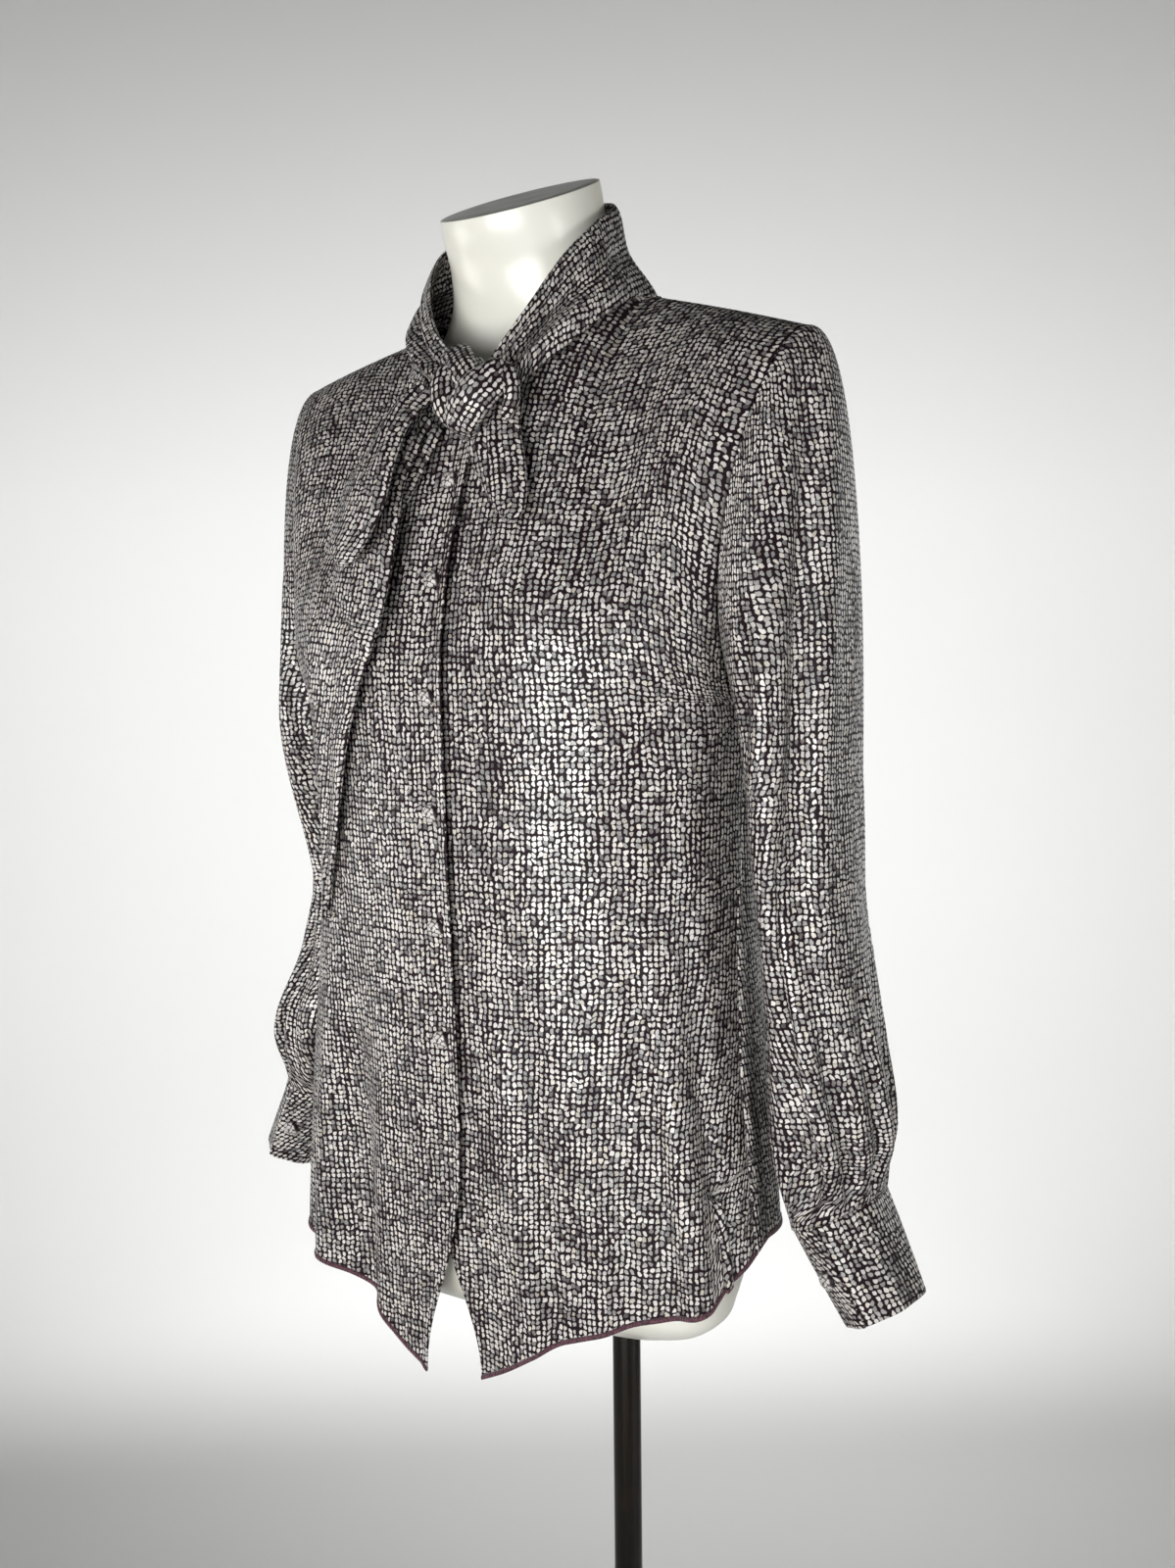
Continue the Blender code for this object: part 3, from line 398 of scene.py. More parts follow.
def crease_push(share, height, table, share_length):
    """How far the cloth is pushed out by a table of creases. share_length turns shares into metres."""
    push = np.zeros(np.broadcast(share, height).shape)
    for row in table:
        c = dict(zip(CREASE_COLUMNS, row))
        nearest = np.full(push.shape, np.inf)
        along = np.zeros(push.shape)
        for t in np.linspace(0, 1, 25):
            at_share = c["share_0"] + (c["share_1"] - c["share_0"]) * t + c["bow"] * math.sin(math.pi * t)
            at_height = c["z_0"] + (c["z_1"] - c["z_0"]) * t
            gap = np.hypot((share - at_share) * share_length, (height - at_height) * 0.35)
            closer = gap < nearest
            nearest = np.where(closer, gap, nearest)
            along = np.where(closer, t, along)
        fade = np.sin(math.pi * np.clip(along, 0.02, 0.98)) ** 0.7
        push += c["depth"] * np.exp(-((nearest / c["width"]) ** 2)) * fade
    return push * sizes().crease_depth


# The body of the blouse

# The hem's folds: their depth, the heights between which they grow, and their phase by back and side
HEM_FOLD_DEPTH = 0.0095
FOLDS_FROM_Z = 1.06
FOLDS_TO_Z = 0.74
FOLD_PHASE = {(True, 1): 3.1, (True, -1): 4.4, (False, 1): 0.4, (False, -1): 1.9}
# The one deep fold of the right front, with its angle and width
FAR_FOLD_DEPTH = 0.016
FAR_FOLD_ANGLE = (0.86, 0.10)
TRUNK_AT = spline_table(TRUNK, SECTION_COLUMNS)
HEM_AT = spline_table(HEM, HEM_COLUMNS)["height"]
BACK_HEM_AT = spline_table(BACK_HEM, HEM_COLUMNS)["height"]
TRUNK_ROWS = 110
YOKE_ROWS = 90
PANEL_COLUMNS = 84
PANEL_WIDTH = 0.24


def hem_folds(angle, height, side, back):
    """Soft lengthwise folds that start under the bust and deepen to the hem, as an outward push."""
    depth = HEM_FOLD_DEPTH * ease(-height, -FOLDS_FROM_Z, -FOLDS_TO_Z)
    phase = FOLD_PHASE[back, side]
    waves = np.sin(7.0 * angle + phase) + 0.45 * np.sin(12.0 * angle + 2.1 * phase)
    edge = ease(angle, 0.10, 0.45) * (1 - ease(angle, 1.02, 1.45))
    if back or side > 0:
        return depth * waves * edge
    far_fold = FAR_FOLD_DEPTH * hump(angle, *FAR_FOLD_ANGLE) * ease(-height, -0.98, -0.76)
    return depth * waves * edge - far_fold


def trunk_points(angle, height, side, back):
    """Points of the body below the underarm. angle is 0 at the centre and a quarter turn at the seam."""
    at = {k: f(height) for k, f in TRUNK_AT.items()}
    deep, square = ("back", BACK_SQUARENESS) if back else ("front", FRONT_SQUARENESS)
    cosine = np.clip(np.cos(angle), 0, 1)
    push = hem_folds(angle, height, side, back)
    x = at["half_width"] * np.sin(angle) + push * np.sin(angle)
    y = at["side"] + (at[deep] - at["side"]) * cosine**square
    y = y + push * (1 if back else -1) * cosine
    return np.stack([side * x, y, height + 0 * x], axis=-1)


def armhole_points(share, back):
    """The armhole's seam from the underarm, share 0, to the shoulder point, share 1."""
    turn = math.pi * np.asarray(share, float)
    low_y = float(TRUNK_AT["side"](UNDERARM_Z))
    middle_y = low_y + (SHOULDER_TIP[1] - low_y) * ease(share, 0, 1)
    reach = ARMHOLE_BACK if back else ARMHOLE_FRONT
    low_x = float(TRUNK_AT["half_width"](UNDERARM_Z))
    rise = (1 - np.cos(turn)) / 2
    x = low_x + (SHOULDER_TIP[0] - low_x) * rise - 0.008 * np.sin(turn) ** 2
    z = UNDERARM_Z + (SHOULDER_TIP[2] - UNDERARM_Z) * rise
    return np.stack([x, middle_y + reach * np.sin(turn), z], axis=-1)


def top_edge(share, back):
    """The neckline from the centre to the neck point, then the shoulder seam out to its tip."""
    centre = np.array(BACK_NECK if back else FRONT_NECK)
    neck = np.array(NECK_POINT)
    tip = np.array(SHOULDER_TIP)
    if share <= NECK_SHARE:
        turn = share / NECK_SHARE * math.pi / 2
        cosine = max(math.cos(turn), 0.0)
        x = neck[0] * math.sin(turn)
        y = neck[1] + (centre[1] - neck[1]) * cosine**0.8
        z = centre[2] + (neck[2] - centre[2]) * (1 - cosine) ** 0.4
        return np.array([x, y, z])
    t = (share - NECK_SHARE) / (1 - NECK_SHARE)
    point = neck + (tip - neck) * t
    point[2] += 0.001 * math.sin(math.pi * t)
    return point


def panel_shares():
    """Shares of a panel's half width, closer together at the seam and the centre."""
    t = np.linspace(0, 1, PANEL_COLUMNS + 1)
    return t - 0.05 * np.sin(2 * math.pi * t) / (2 * math.pi) * 4


def panel_surface(side, back, shares, trunk_rows, yoke_rows):
    """Outer points of one half of the front or the back: rows from hem to shoulder."""
    angle = shares * math.pi / 2
    low = (BACK_HEM_AT if back else HEM_AT)(angle)
    climb = np.linspace(0, 1, trunk_rows + 1)[:, None]
    trunk = trunk_points(angle[None], low + (UNDERARM_Z - low) * climb, side, back)
    start = trunk_points(angle, np.full_like(angle, UNDERARM_Z), side, back)
    stop = np.array([top_edge(share, back) for share in shares]) * (side, 1, 1)
    v = np.linspace(0, 1, yoke_rows + 1)
    across = 1 - np.clip(np.cos(v * math.pi / 2), 0, 1) ** 1.6
    rise = np.sin(v * math.pi / 2) ** 1.25
    weights = np.stack([across, across, rise], axis=-1)[:, None]
    yoke = start + (stop - start) * weights
    grid = np.concatenate([trunk, yoke[1:]])
    x, z = np.abs(grid[..., 0]), grid[..., 2]
    inside = 1 - ease(shares, 0.70, 1.0)
    if back:
        grid[..., 1] += BLADE_RISE * hump(x, *BLADE_ACROSS) * hump(z, *BLADE_HEIGHT) * inside
    else:
        grid[..., 1] -= BUST_RISE * hump(x, *BUST_ACROSS) * hump(z, *BUST_HEIGHT) * inside
    edge = armhole_points(v, back) * (side, 1, 1)
    miss = edge - grid[trunk_rows:, -1]
    grid[trunk_rows:] += miss[:, None] * ease(shares, 0.35, 1.0)[None, :, None]
    return grid


def front_edge_x(height, side):
    """Where a front's opening edge lies at a height, signed towards the wearer's left."""
    swing = ease(-height, -OPEN_TOP_Z, -HEM[0][1]) ** 1.2
    if side < 0:
        return FRONT_LAP - RIGHT_SWING * swing
    return -FRONT_LAP + LEFT_SWING * swing


# How far the lapping edge stands off the front below it, and over what width
EDGE_LIFT = 0.0026
EDGE_CURL = 0.0080


def lapped_front(side, shares, trunk_rows, yoke_rows):
    """Outer points of a front with its opening edge: the right one laps over the left."""
    grid = panel_surface(side, False, shares, trunk_rows, yoke_rows)
    fade = np.clip(1 - shares / NECK_SHARE, 0, 1) ** 1.5
    for row in grid:
        across = row[:, 0] * side
        moved = across + side * front_edge_x(row[0, 2], side) * fade
        row[:, 1] = np.interp(np.abs(moved), across, row[:, 1])
        row[:, 2] = np.interp(np.abs(moved), across, row[:, 2])
        row[:, 0] = moved * side
    if side > 0:
        grid[:, :, 1] += LAP * (1 - ease(shares, 0.10, 0.32))
    else:
        grid[:, :, 1] -= EDGE_LIFT * (1 - ease(run_lengths(grid, 1), 0.0, EDGE_CURL))
    return grid


def cloth_map(grid, side, trunk_rows, yoke_rows):
    """The print's place on a panel, in metres: the grain runs straight up from the hem."""
    across = run_lengths(grid, 1) + grid[:, :1, 0] * side
    rows = np.arange(len(grid))[:, None]
    upper = ease(rows, trunk_rows, trunk_rows + yoke_rows)
    u = across * (1 - upper) + grid[..., 0] * side * upper
    up = run_lengths(grid, 0)
    return np.stack([u, up - up[trunk_rows]], axis=-1)


# Meshes


def in_scene(name, data):
    """A new object with this data, linked to the scene."""
    thing = bpy.data.objects.new(name, data)
    bpy.context.scene.collection.objects.link(thing)
    return thing


def add_mesh(name, vertices, faces, loop_uvs, material, outward=True):
    """A mesh object with the print's map; outward is False where its faces have to be turned over."""
    data = bpy.data.meshes.new(name)
    data.from_pydata([tuple(p) for p in vertices], [], faces)
    layer = data.uv_layers.new(name="cloth")
    layer.data.foreach_set("uv", np.asarray(loop_uvs, float).ravel())
    data.materials.append(material)
    thing = in_scene(name, data)
    if not outward:
        data.flip_normals()
    data.shade_smooth()
    return thing


def grid_faces(rows, columns, closed_rows):
    """Faces of a grid of points and, for each corner of each, its row and column in the map."""
    faces, corners = [], []
    last = columns if closed_rows else columns - 1
    for r in range(rows - 1):
        for c in range(last):
            n = (c + 1) % columns
            faces.append((r * columns + c, r * columns + n, (r + 1) * columns + n, (r + 1) * columns + c))
            corners += [(r, c), (r, c + 1), (r + 1, c + 1), (r + 1, c)]
    return faces, np.array(corners)


def only(thing):
    """Makes one object the only selected and the active one."""
    bpy.ops.object.select_all(action="DESELECT")
    thing.select_set(True)
    bpy.context.view_layer.objects.active = thing


def apply_modifier(thing, kind, **settings):
    only(thing)
    modifier = thing.modifiers.new(kind.title(), kind)
    for key, value in settings.items():
        setattr(modifier, key, value)
    bpy.ops.object.modifier_apply(modifier=modifier.name)


def sheet_of(name, grid, uv, material, thickness, closed_rows=False, outward=True):
    """A shell of cloth whose outer face is the grid: thickness goes inwards."""
    faces, corners = grid_faces(grid.shape[0], grid.shape[1], closed_rows)
    loop_uvs = uv[corners[:, 0], corners[:, 1]]
    points = grid.reshape(-1, 3) + FIGURE
    thing = add_mesh(name, points, faces, loop_uvs, material, outward)
    apply_modifier(thing, "SOLIDIFY", thickness=thickness, offset=-1.0, use_even_offset=False)
    return thing


def faces_out(grid, away_from):
    """True if a grid's faces, in row then column order, point away from a place."""
    normals = grid_normals(grid, False)
    return float(np.sum(normals * (grid - np.asarray(away_from)))) > 0


def drawn_in(grid, edge, by):
    """The grid with one edge moved into the piece, to leave the gap of a seam."""
    here, beside = {
        "left": (grid[:, 0], grid[:, 1]),
        "right": (grid[:, -1], grid[:, -2]),
        "top": (grid[-1], grid[-2]),
        "bottom": (grid[0], grid[1]),
    }[edge]
    here += by * unit(beside - here)
    return grid


def pieces_ride(*things):
    """The part has one body, so every piece moves with it."""
    for thing in things:
        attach(thing, "root")


# Finishes


class Shade:
    """A socket whose operators add Math nodes to its finish."""

    def __init__(self, finish, socket):
        self.finish = finish
        self.socket = socket

    def maths(self, operation, *values):
        return self.finish.node("ShaderNodeMath", {"operation": operation}, dict(enumerate(values)))

    def __add__(self, other):
        return self.maths("ADD", self, other)

    __radd__ = __add__

    def __sub__(self, other):
        return self.maths("SUBTRACT", self, other)

    def __rsub__(self, other):
        return self.maths("SUBTRACT", other, self)

    def __mul__(self, other):
        return self.maths("MULTIPLY", self, other)

    __rmul__ = __mul__

    def __truediv__(self, other):
        return self.maths("DIVIDE", self, other)

    def __rtruediv__(self, other):
        return self.maths("DIVIDE", other, self)

    def __pow__(self, other):
        return self.maths("POWER", self, other)

    def __abs__(self):
        return self.maths("ABSOLUTE", self)

    def clipped(self, low, high):
        """0 where the value is at low, 1 at high, and smooth between."""
        settings = {"interpolation_type": "SMOOTHSTEP"}
        return self.finish.node("ShaderNodeMapRange", settings, {0: self, 1: low, 2: high})


class Finish:
    """A material under construction."""

    def __init__(self, name):
        self.material = bpy.data.materials.new(name)
        self.material.use_nodes = True
        self.tree = self.material.node_tree
        self.shader = self.tree.nodes["Principled BSDF"]

    def node(self, kind, settings, sockets, output=0):
        """Adds a node, gives it its settings and its sockets' values or links, and returns an output."""
        made = self.tree.nodes.new(kind)
        for key, value in settings.items():
            setattr(made, key, value)
        for key, value in sockets.items():
            self.join(value, made.inputs[key])
        if isinstance(output, tuple):
            return tuple(Shade(self, made.outputs[name]) for name in output)
        return Shade(self, made.outputs[output])

    def join(self, value, socket):
        if isinstance(value, Shade):
            self.tree.links.new(value.socket, socket)
        elif isinstance(value, (tuple, list)) and len(value) == 3 and socket.type == "RGBA":
            socket.default_value = (*value, 1.0)
        else:
            socket.default_value = value

    def set(self, **values):
        """Values or links for the shader's own sockets, named with underscores for spaces."""
        for key, value in values.items():
            self.join(value, self.shader.inputs[key.replace("_", " ").title().replace("Ior", "IOR")])

    def cloth_place(self):
        return self.node("ShaderNodeUVMap", {"uv_map": "cloth"}, {})

    def object_place(self):
        return self.node("ShaderNodeTexCoord", {}, {}, "Object")

    def split(self, vector):
        return self.node("ShaderNodeSeparateXYZ", {}, {0: vector}, ("X", "Y", "Z"))

    def joined(self, x, y, z=0.0):
        return self.node("ShaderNodeCombineXYZ", {}, {0: x, 1: y, 2: z})

    def noise(self, place, scale, detail=2.0, dimensions="3D"):
        settings = {"noise_dimensions": dimensions}
        return self.node("ShaderNodeTexNoise", settings, {"Vector": place, "Scale": scale, "Detail": detail})

    def mix(self, share, first, second):
        settings = {"data_type": "RGBA"}
        return self.node("ShaderNodeMix", settings, {0: share, 6: first, 7: second}, 2)

    def bump(self, height, strength, distance):
        sockets = {"Strength": strength, "Distance": distance, "Height": height}
        return self.node("ShaderNodeBump", {}, sockets)


# Half a print cell, as a share of its pitch, and how far the drawn rows drift from straight
CELL_HALF_WIDTH = 0.40
CELL_HALF_HEIGHT = 0.43
DRIFT_ACROSS = 0.95
DRIFT_UP = 1.3


def silk_print():
    """Silk satin with a hand-drawn net of dark lines round pale rounded cells."""
    finish = Finish("silk_print")
    place = finish.cloth_place()
    u, v = finish.split(place)[:2]
    drift_x = finish.noise(place, 26.0, 1.0, "2D") - 0.5
    drift_y = finish.noise(finish.joined(v, u + 3.0), 26.0, 1.0, "2D") - 0.5
    x = u / sizes().cell_width + drift_x * DRIFT_ACROSS
    y = v / sizes().cell_height + drift_y * DRIFT_UP
    x = x + (finish.noise(finish.joined(x * 0.35, y * 0.8), 1.0, 1.0, "2D") - 0.5) * 0.55
    y = y + (finish.noise(finish.joined(x * 0.9, y * 0.25 + 7.0), 1.0, 1.0, "2D") - 0.5) * 0.9
    cells = finish.node(
        "ShaderNodeTexVoronoi",
        {"voronoi_dimensions": "2D", "feature": "F1", "distance": "CHEBYCHEV"},
        {"Vector": finish.joined(x, y), "Scale": 1.0, "Randomness": 0.28},
        ("Color", "Position"),
    )
    chance, second_chance, third_chance = finish.split(cells[0])
    cell_x, cell_y, _ = finish.split(cells[1])
    side = abs(x - cell_x) / CELL_HALF_WIDTH
    rise = abs(y - cell_y) / CELL_HALF_HEIGHT
    wobble = finish.noise(finish.joined(x, y), 1.9, 1.0, "2D") - 0.5
    runs = finish.noise(finish.joined(x * 0.9, y * 0.06), 1.0, 1.0, "2D").clipped(0.50, 0.66)
    across_runs = finish.noise(finish.joined(x * 0.09, y * 0.9), 1.0, 1.0, "2D").clipped(0.55, 0.72)
    reach = (side**2.6 + rise**2.6) ** 0.3846
    reach = reach + wobble * 0.70 + runs * side * 0.42 + across_runs * rise * 0.25
    cell = reach.clipped(1.08, 0.78)
    patches = finish.noise(place, 42.0, 2.0, "2D").clipped(0.36, 0.66)
    pale = (chance * 0.80 + patches * 0.35).clipped(0.10, 0.90)
    colour = finish.mix(pale, tuple(colours().grey_cell), tuple(colours().pale_cell))
    warm = tuple(a * b for a, b in zip(colours().pale_cell, (1.0, 0.93, 0.74)))
    colour = finish.mix(third_chance.clipped(0.80, 0.92) * 0.35, colour, warm)
    dark_cell = second_chance.clipped(0.90, 0.96) * 0.75
    colour = finish.mix(cell * (1 - dark_cell), tuple(colours().net_line), colour)
    crumple = finish.noise(place, 95.0, 3.0, "2D") + finish.noise(place, 900.0, 1.0, "2D") * 0.2
    finish.set(
        Base_Color=colour,
        Roughness=0.55,
        Coat_Weight=cell * 0.85,
        Normal=finish.bump(crumple, 0.25, 0.0012),
        Specular_IOR_Level=0.12,
        Coat_Roughness=0.30,
    )
    return finish.material


def button_cover():
    """The print on a covered button: a few pale cells on the dome, dark round its rim, and a painted shadow
    that darkens one side of the dome in a crescent.
    """
    finish = Finish("button_cover")
    u, v = finish.split(finish.cloth_place())[:2]
    uneven = finish.noise(finish.joined(u, v), 420.0, 1.0, "2D") - 0.5
    reach = (u * u + v * v) ** 0.5 / sizes().button_radius + uneven * 0.22
    # Painted shadow: a dark crescent over one side of the dome, in the net's colour.
    painted_shadow_side = (u * 0.94 + v * 0.34) / sizes().button_radius + uneven * 0.30
    bent = finish.joined(u * 340.0 + uneven * 1.1 + 0.3, v * 300.0 + 0.6)
    net = finish.node(
        "ShaderNodeTexVoronoi",
        {"voronoi_dimensions": "2D", "feature": "DISTANCE_TO_EDGE"},
        {"Vector": bent, "Scale": 1.0},
    )
    cell = reach.clipped(1.02, 0.88) * painted_shadow_side.clipped(0.84, 0.66) * net.clipped(0.05, 0.16)
    tone = finish.noise(finish.joined(u, v), 900.0, 2.0, "2D").clipped(0.30, 0.75)
    pale = finish.mix(tone, tuple(0.72 * c for c in colours().pale_cell), tuple(colours().pale_cell))
    finish.set(
        Base_Color=finish.mix(cell, tuple(colours().net_line), pale),
        Roughness=0.36,
        Normal=finish.bump(tone, 0.15, 0.0003),
    )
    return finish.material


def overlock_thread():
    """Burgundy thread wound closely over an edge."""
    finish = Finish("overlock_thread")
    u, v = finish.split(finish.cloth_place())[:2]
    strands = (u * 2600.0 + v * 500.0).maths("SINE", u * 2600.0 + v * 500.0)
    tone = finish.noise(finish.cloth_place(), 700.0, 2.0, "2D").clipped(0.35, 0.70)
    dark = tuple(0.35 * c for c in colours().thread)
    light = tuple(min(1.0, 2.2 * c) for c in colours().thread)
    finish.set(
        Base_Color=finish.mix(tone, dark, light),
        Roughness=0.62,
        Normal=finish.bump(strands, 0.55, 0.0003),
        Sheen_Weight=0.25,
    )
    return finish.material


def white_lacquer():
    """Glossy off-white lacquer, slightly mottled."""
    finish = Finish("white_lacquer")
    place = finish.object_place()
    mottle = finish.noise(place, 9.0, 4.0).clipped(0.35, 0.75)
    scuffs = finish.noise(place, 60.0, 5.0)
    warm = tuple(a * b for a, b in zip(colours().form_shell, (1.0, 0.97, 0.88)))
    finish.set(
        Base_Color=finish.mix(mottle, tuple(colours().form_shell), warm),
        Roughness=scuffs * 0.14 + 0.24,
        Normal=finish.bump(finish.noise(place, 22.0, 2.0), 0.05, 0.002),
        Coat_Weight=0.4,
        Coat_Roughness=0.20,
    )
    return finish.material


def neck_plate_painted_shade():
    """Lacquer on the flat top of the neck, with dust and rub marks, in a grey darker than the shell's as a
    painted shade for its upward-facing top.
    """
    finish = Finish("neck_plate_painted_shade")
    place = finish.object_place()
    # Painted shade in the plate's darker base grey; the rub marks on it are wear.
    rubs = finish.noise(place, 45.0, 5.0).clipped(0.40, 0.75)
    worn = tuple(0.82 * c for c in colours().shaded_neck_plate)
    finish.set(
        Base_Color=finish.mix(rubs, tuple(colours().shaded_neck_plate), worn),
        Roughness=0.24,
        Normal=finish.bump(finish.noise(place, 400.0, 2.0), 0.05, 0.0004),
    )
    return finish.material


def bronze_lacquer():
    """Dark bronze metal, drawn along its length, with faint handling marks."""
    finish = Finish("bronze_lacquer")
    place = finish.object_place()
    x, y, z = finish.split(place)
    drawn = finish.noise(finish.joined(x * 900.0, y * 900.0, z * 6.0), 1.0, 3.0)
    marks = finish.noise(place, 30.0, 4.0).clipped(0.45, 0.75)
    light = tuple(1.9 * c for c in colours().bronze)
    finish.set(
        Base_Color=finish.mix(marks, tuple(colours().bronze), light),
        Roughness=drawn * 0.18 + 0.16,
        Normal=finish.bump(drawn, 0.10, 0.0004),
        Metallic=0.5,
        Coat_Weight=0.25,
        Coat_Roughness=0.12,
    )
    return finish.material


def backdrop_paper():
    """Plain pale studio paper."""
    finish = Finish("backdrop_paper")
    place = finish.object_place()
    tone = finish.noise(place, 0.6, 2.0)
    darker = tuple(0.95 * c for c in colours().backdrop)
    finish.set(Base_Color=finish.mix(tone, tuple(colours().backdrop), darker), Roughness=0.9)
    return finish.material


def finish_named(name):
    """A material by its recipe's name, made the first time that it is asked for."""
    return bpy.data.materials.get(name) or RECIPES[name]()


RECIPES = {
    "silk_print": silk_print,
    "button_cover": button_cover,
    "overlock_thread": overlock_thread,
    "white_lacquer": white_lacquer,
    "neck_plate_painted_shade": neck_plate_painted_shade,
    "bronze_lacquer": bronze_lacquer,
    "backdrop_paper": backdrop_paper,
}


# Fronts and back

# The overlocked edge: its sides, the step of its rings, its stitches and its thickness
THREAD_SIDES = 8
THREAD_STEP = 0.0006
THREAD_OVERHANG = 0.0006
STITCH_LENGTH = 0.0021
STITCH_SWELL = 0.16
THREAD_THICK = 0.00095
THREAD_WRAP = 0.008


def side_word(side):
    return "left" if side > 0 else "right"


def panel_creases(side, back):
    if back:
        return BACK_CREASES
    return LEFT_FRONT_CREASES if side > 0 else RIGHT_FRONT_CREASES


def creased(grid, side, back, shares):
    """A panel with its creases pressed in, fading to nothing at the seams and under the buttons."""
    normals = grid_normals(grid, False) * (side * (-1 if back else 1))
    height = grid[..., 2]
    push = crease_push(shares[None, :] + 0 * height, height, panel_creases(side, back), PANEL_WIDTH)
    held = ease(shares, 0.97, 0.90) if back else ease(shares, 0.97, 0.90) * ease(shares, 0.04, 0.14)
    push = push * held[None, :]
    rows = np.linspace(0, 1, len(grid))[:, None]
    push *= ease(rows, 1.0, 0.90)
    return grid + normals * push[..., None]


def front_cloth(side):
    """One front, from the hem to the shoulder seam."""
    shares = panel_shares()
    grid = creased(lapped_front(side, shares, TRUNK_ROWS, YOKE_ROWS), side, False, shares)
    uv = cloth_map(grid, side, TRUNK_ROWS, YOKE_ROWS) * (side, 1)
    for edge in ("right", "top"):
        grid = drawn_in(grid, edge, SEAM_GAP / 2)
    word = side_word(side)
    outward = faces_out(grid, (0.0, 0.0, 1.0))
    cloth = sheet_of(
        f"front_{word}_silk", grid, uv, finish_named("silk_print"), sizes().cloth, outward=outward
    )
    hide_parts(f"front_{word}")
    hem = overlocked_edge(f"front_{word}_overlock", grid[0], grid[1])
    pieces_ride(cloth, hem)
    return cloth


def back_cloth():
    """The back, in one piece from side seam to side seam."""
    shares = panel_shares()
    halves = []
    maps = []
    for side in (-1, 1):
        half = creased(panel_surface(side, True, shares, TRUNK_ROWS, YOKE_ROWS), side, True, shares)
        halves.append(half)
        maps.append(cloth_map(half, side, TRUNK_ROWS, YOKE_ROWS) * (side, 1))
    grid = np.concatenate([halves[0][:, ::-1], halves[1][:, 1:]], axis=1)
    uv = np.concatenate([maps[0][:, ::-1], maps[1][:, 1:]], axis=1)
    middle = len(shares) - 1
    grid[:, middle] = (grid[:, middle - 1] + grid[:, middle + 1]) / 2
    for edge in ("left", "right", "top"):
        grid = drawn_in(grid, edge, SEAM_GAP / 2)
    outward = faces_out(grid, (0.0, 0.0, 1.0))
    cloth = sheet_of("back_silk", grid, uv, finish_named("silk_print"), sizes().cloth, outward=outward)
    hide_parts("back")
    hem = overlocked_edge("back_overlock", grid[0], grid[1])
    pieces_ride(cloth, hem)
    return cloth


def overlocked_edge(name, edge, above):
    """Thread wound over a raw edge: a flat rope of stitches along it."""
    length = np.concatenate([[0], np.cumsum(np.linalg.norm(np.diff(edge, axis=0), axis=1))])
    count = int(length[-1] / THREAD_STEP)
    where = np.linspace(0, length[-1], count)
    path = np.stack([np.interp(where, length, edge[:, k]) for k in range(3)], axis=1)
    lift = np.stack([np.interp(where, length, (above - edge)[:, k]) for k in range(3)], axis=1)
    lift = unit(lift)
    out = unit(np.cross(unit(np.gradient(path, axis=0)), lift))
    half = sizes().overlock / 2
    stitch = 1 + STITCH_SWELL * np.abs(np.sin(math.pi * where / STITCH_LENGTH))
    rings = []
    for k in range(THREAD_SIDES):
        turn = 2 * math.pi * k / THREAD_SIDES
        rise = (half * (1 + math.cos(turn)) - THREAD_OVERHANG) * np.where(math.cos(turn) > 0, 1.0, stitch)
        thick = THREAD_THICK * math.sin(turn) * stitch
        rings.append(path + lift * rise[:, None] + out * thick[:, None])
    grid = np.stack(rings, axis=1)
    around = np.linspace(0, THREAD_WRAP, THREAD_SIDES + 1)[None] + 0 * where[:, None]
    uv = np.stack([where[:, None] + 0 * around, around], axis=-1)
    faces, corners = grid_faces(count, THREAD_SIDES, True)
    faces.append(tuple(range(THREAD_SIDES))[::-1])
    faces.append(tuple((count - 1) * THREAD_SIDES + k for k in range(THREAD_SIDES)))
    loops = np.concatenate([uv[corners[:, 0], corners[:, 1]], np.zeros((2 * THREAD_SIDES, 2))])
    thread = add_mesh(name, grid.reshape(-1, 3) + FIGURE, faces, loops, finish_named("overlock_thread"))
    outward_everywhere(thread)
    return thread


def outward_everywhere(thing):
    """Turns the faces of a closed mesh outwards."""
    only(thing)
    bpy.ops.object.mode_set(mode="EDIT")
    bpy.ops.mesh.select_all(action="SELECT")
    bpy.ops.mesh.normals_make_consistent(inside=False)
    bpy.ops.object.mode_set(mode="OBJECT")


# Sleeves and cuffs

SLEEVE_AT = spline_table(SLEEVE, SLEEVE_COLUMNS)
SLEEVE_TOP_Z = SLEEVE[0][0]
CUFF_SEAM_Z = SLEEVE[-1][0]
SLEEVE_TURNS = 144
CAP_RINGS = 60
HANG_RINGS = 100
SLEEVE_ROUND = 0.29
GROOVE_DEPTH = 0.0055
CUFF_RINGS = 24
CUFF_CLOTH = 0.0018
CUFF_EDGE_TURN = 0.02
CUFF_OVERLAP = 0.035
CUFF_LAP = 0.0022
CUFF_INSET = 0.0006
CUFF_RIPPLE = 0.0007
CUFF_BEVEL = 0.0007


def sleeve_rings(height, turn, pleated=True):
    """Points of the hanging sleeve. turn is 0 on the inner side, a quarter at the front, half outside."""
    at = {k: f(height) for k, f in SLEEVE_AT.items()}
    tilt = SLEEVE_TILT * ease(-height, -0.90, -CUFF_SEAM_Z)
    puff = ease(-height, -1.02, -0.88) * (1 - ease(-height, -0.87, -CUFF_SEAM_Z))
    pleat = PLEAT_DEPTH * puff * np.cos(PLEATS * turn + 0.5) if pleated else 0.0
    groove = GROOVE_DEPTH * hump(turn, 2.15, 0.28) * hump(height, 1.02, 0.13)
    a, b = at["half_thick"] + pleat - groove, at["half_depth"] + pleat - groove
    out = -a * np.cos(turn)
    x = at["centre_x"] + out * np.cos(tilt)
    z = height + out * np.sin(tilt)
    return np.stack([x, at["centre_y"] - b * np.sin(turn) + 0 * x, z + 0 * x], axis=-1)


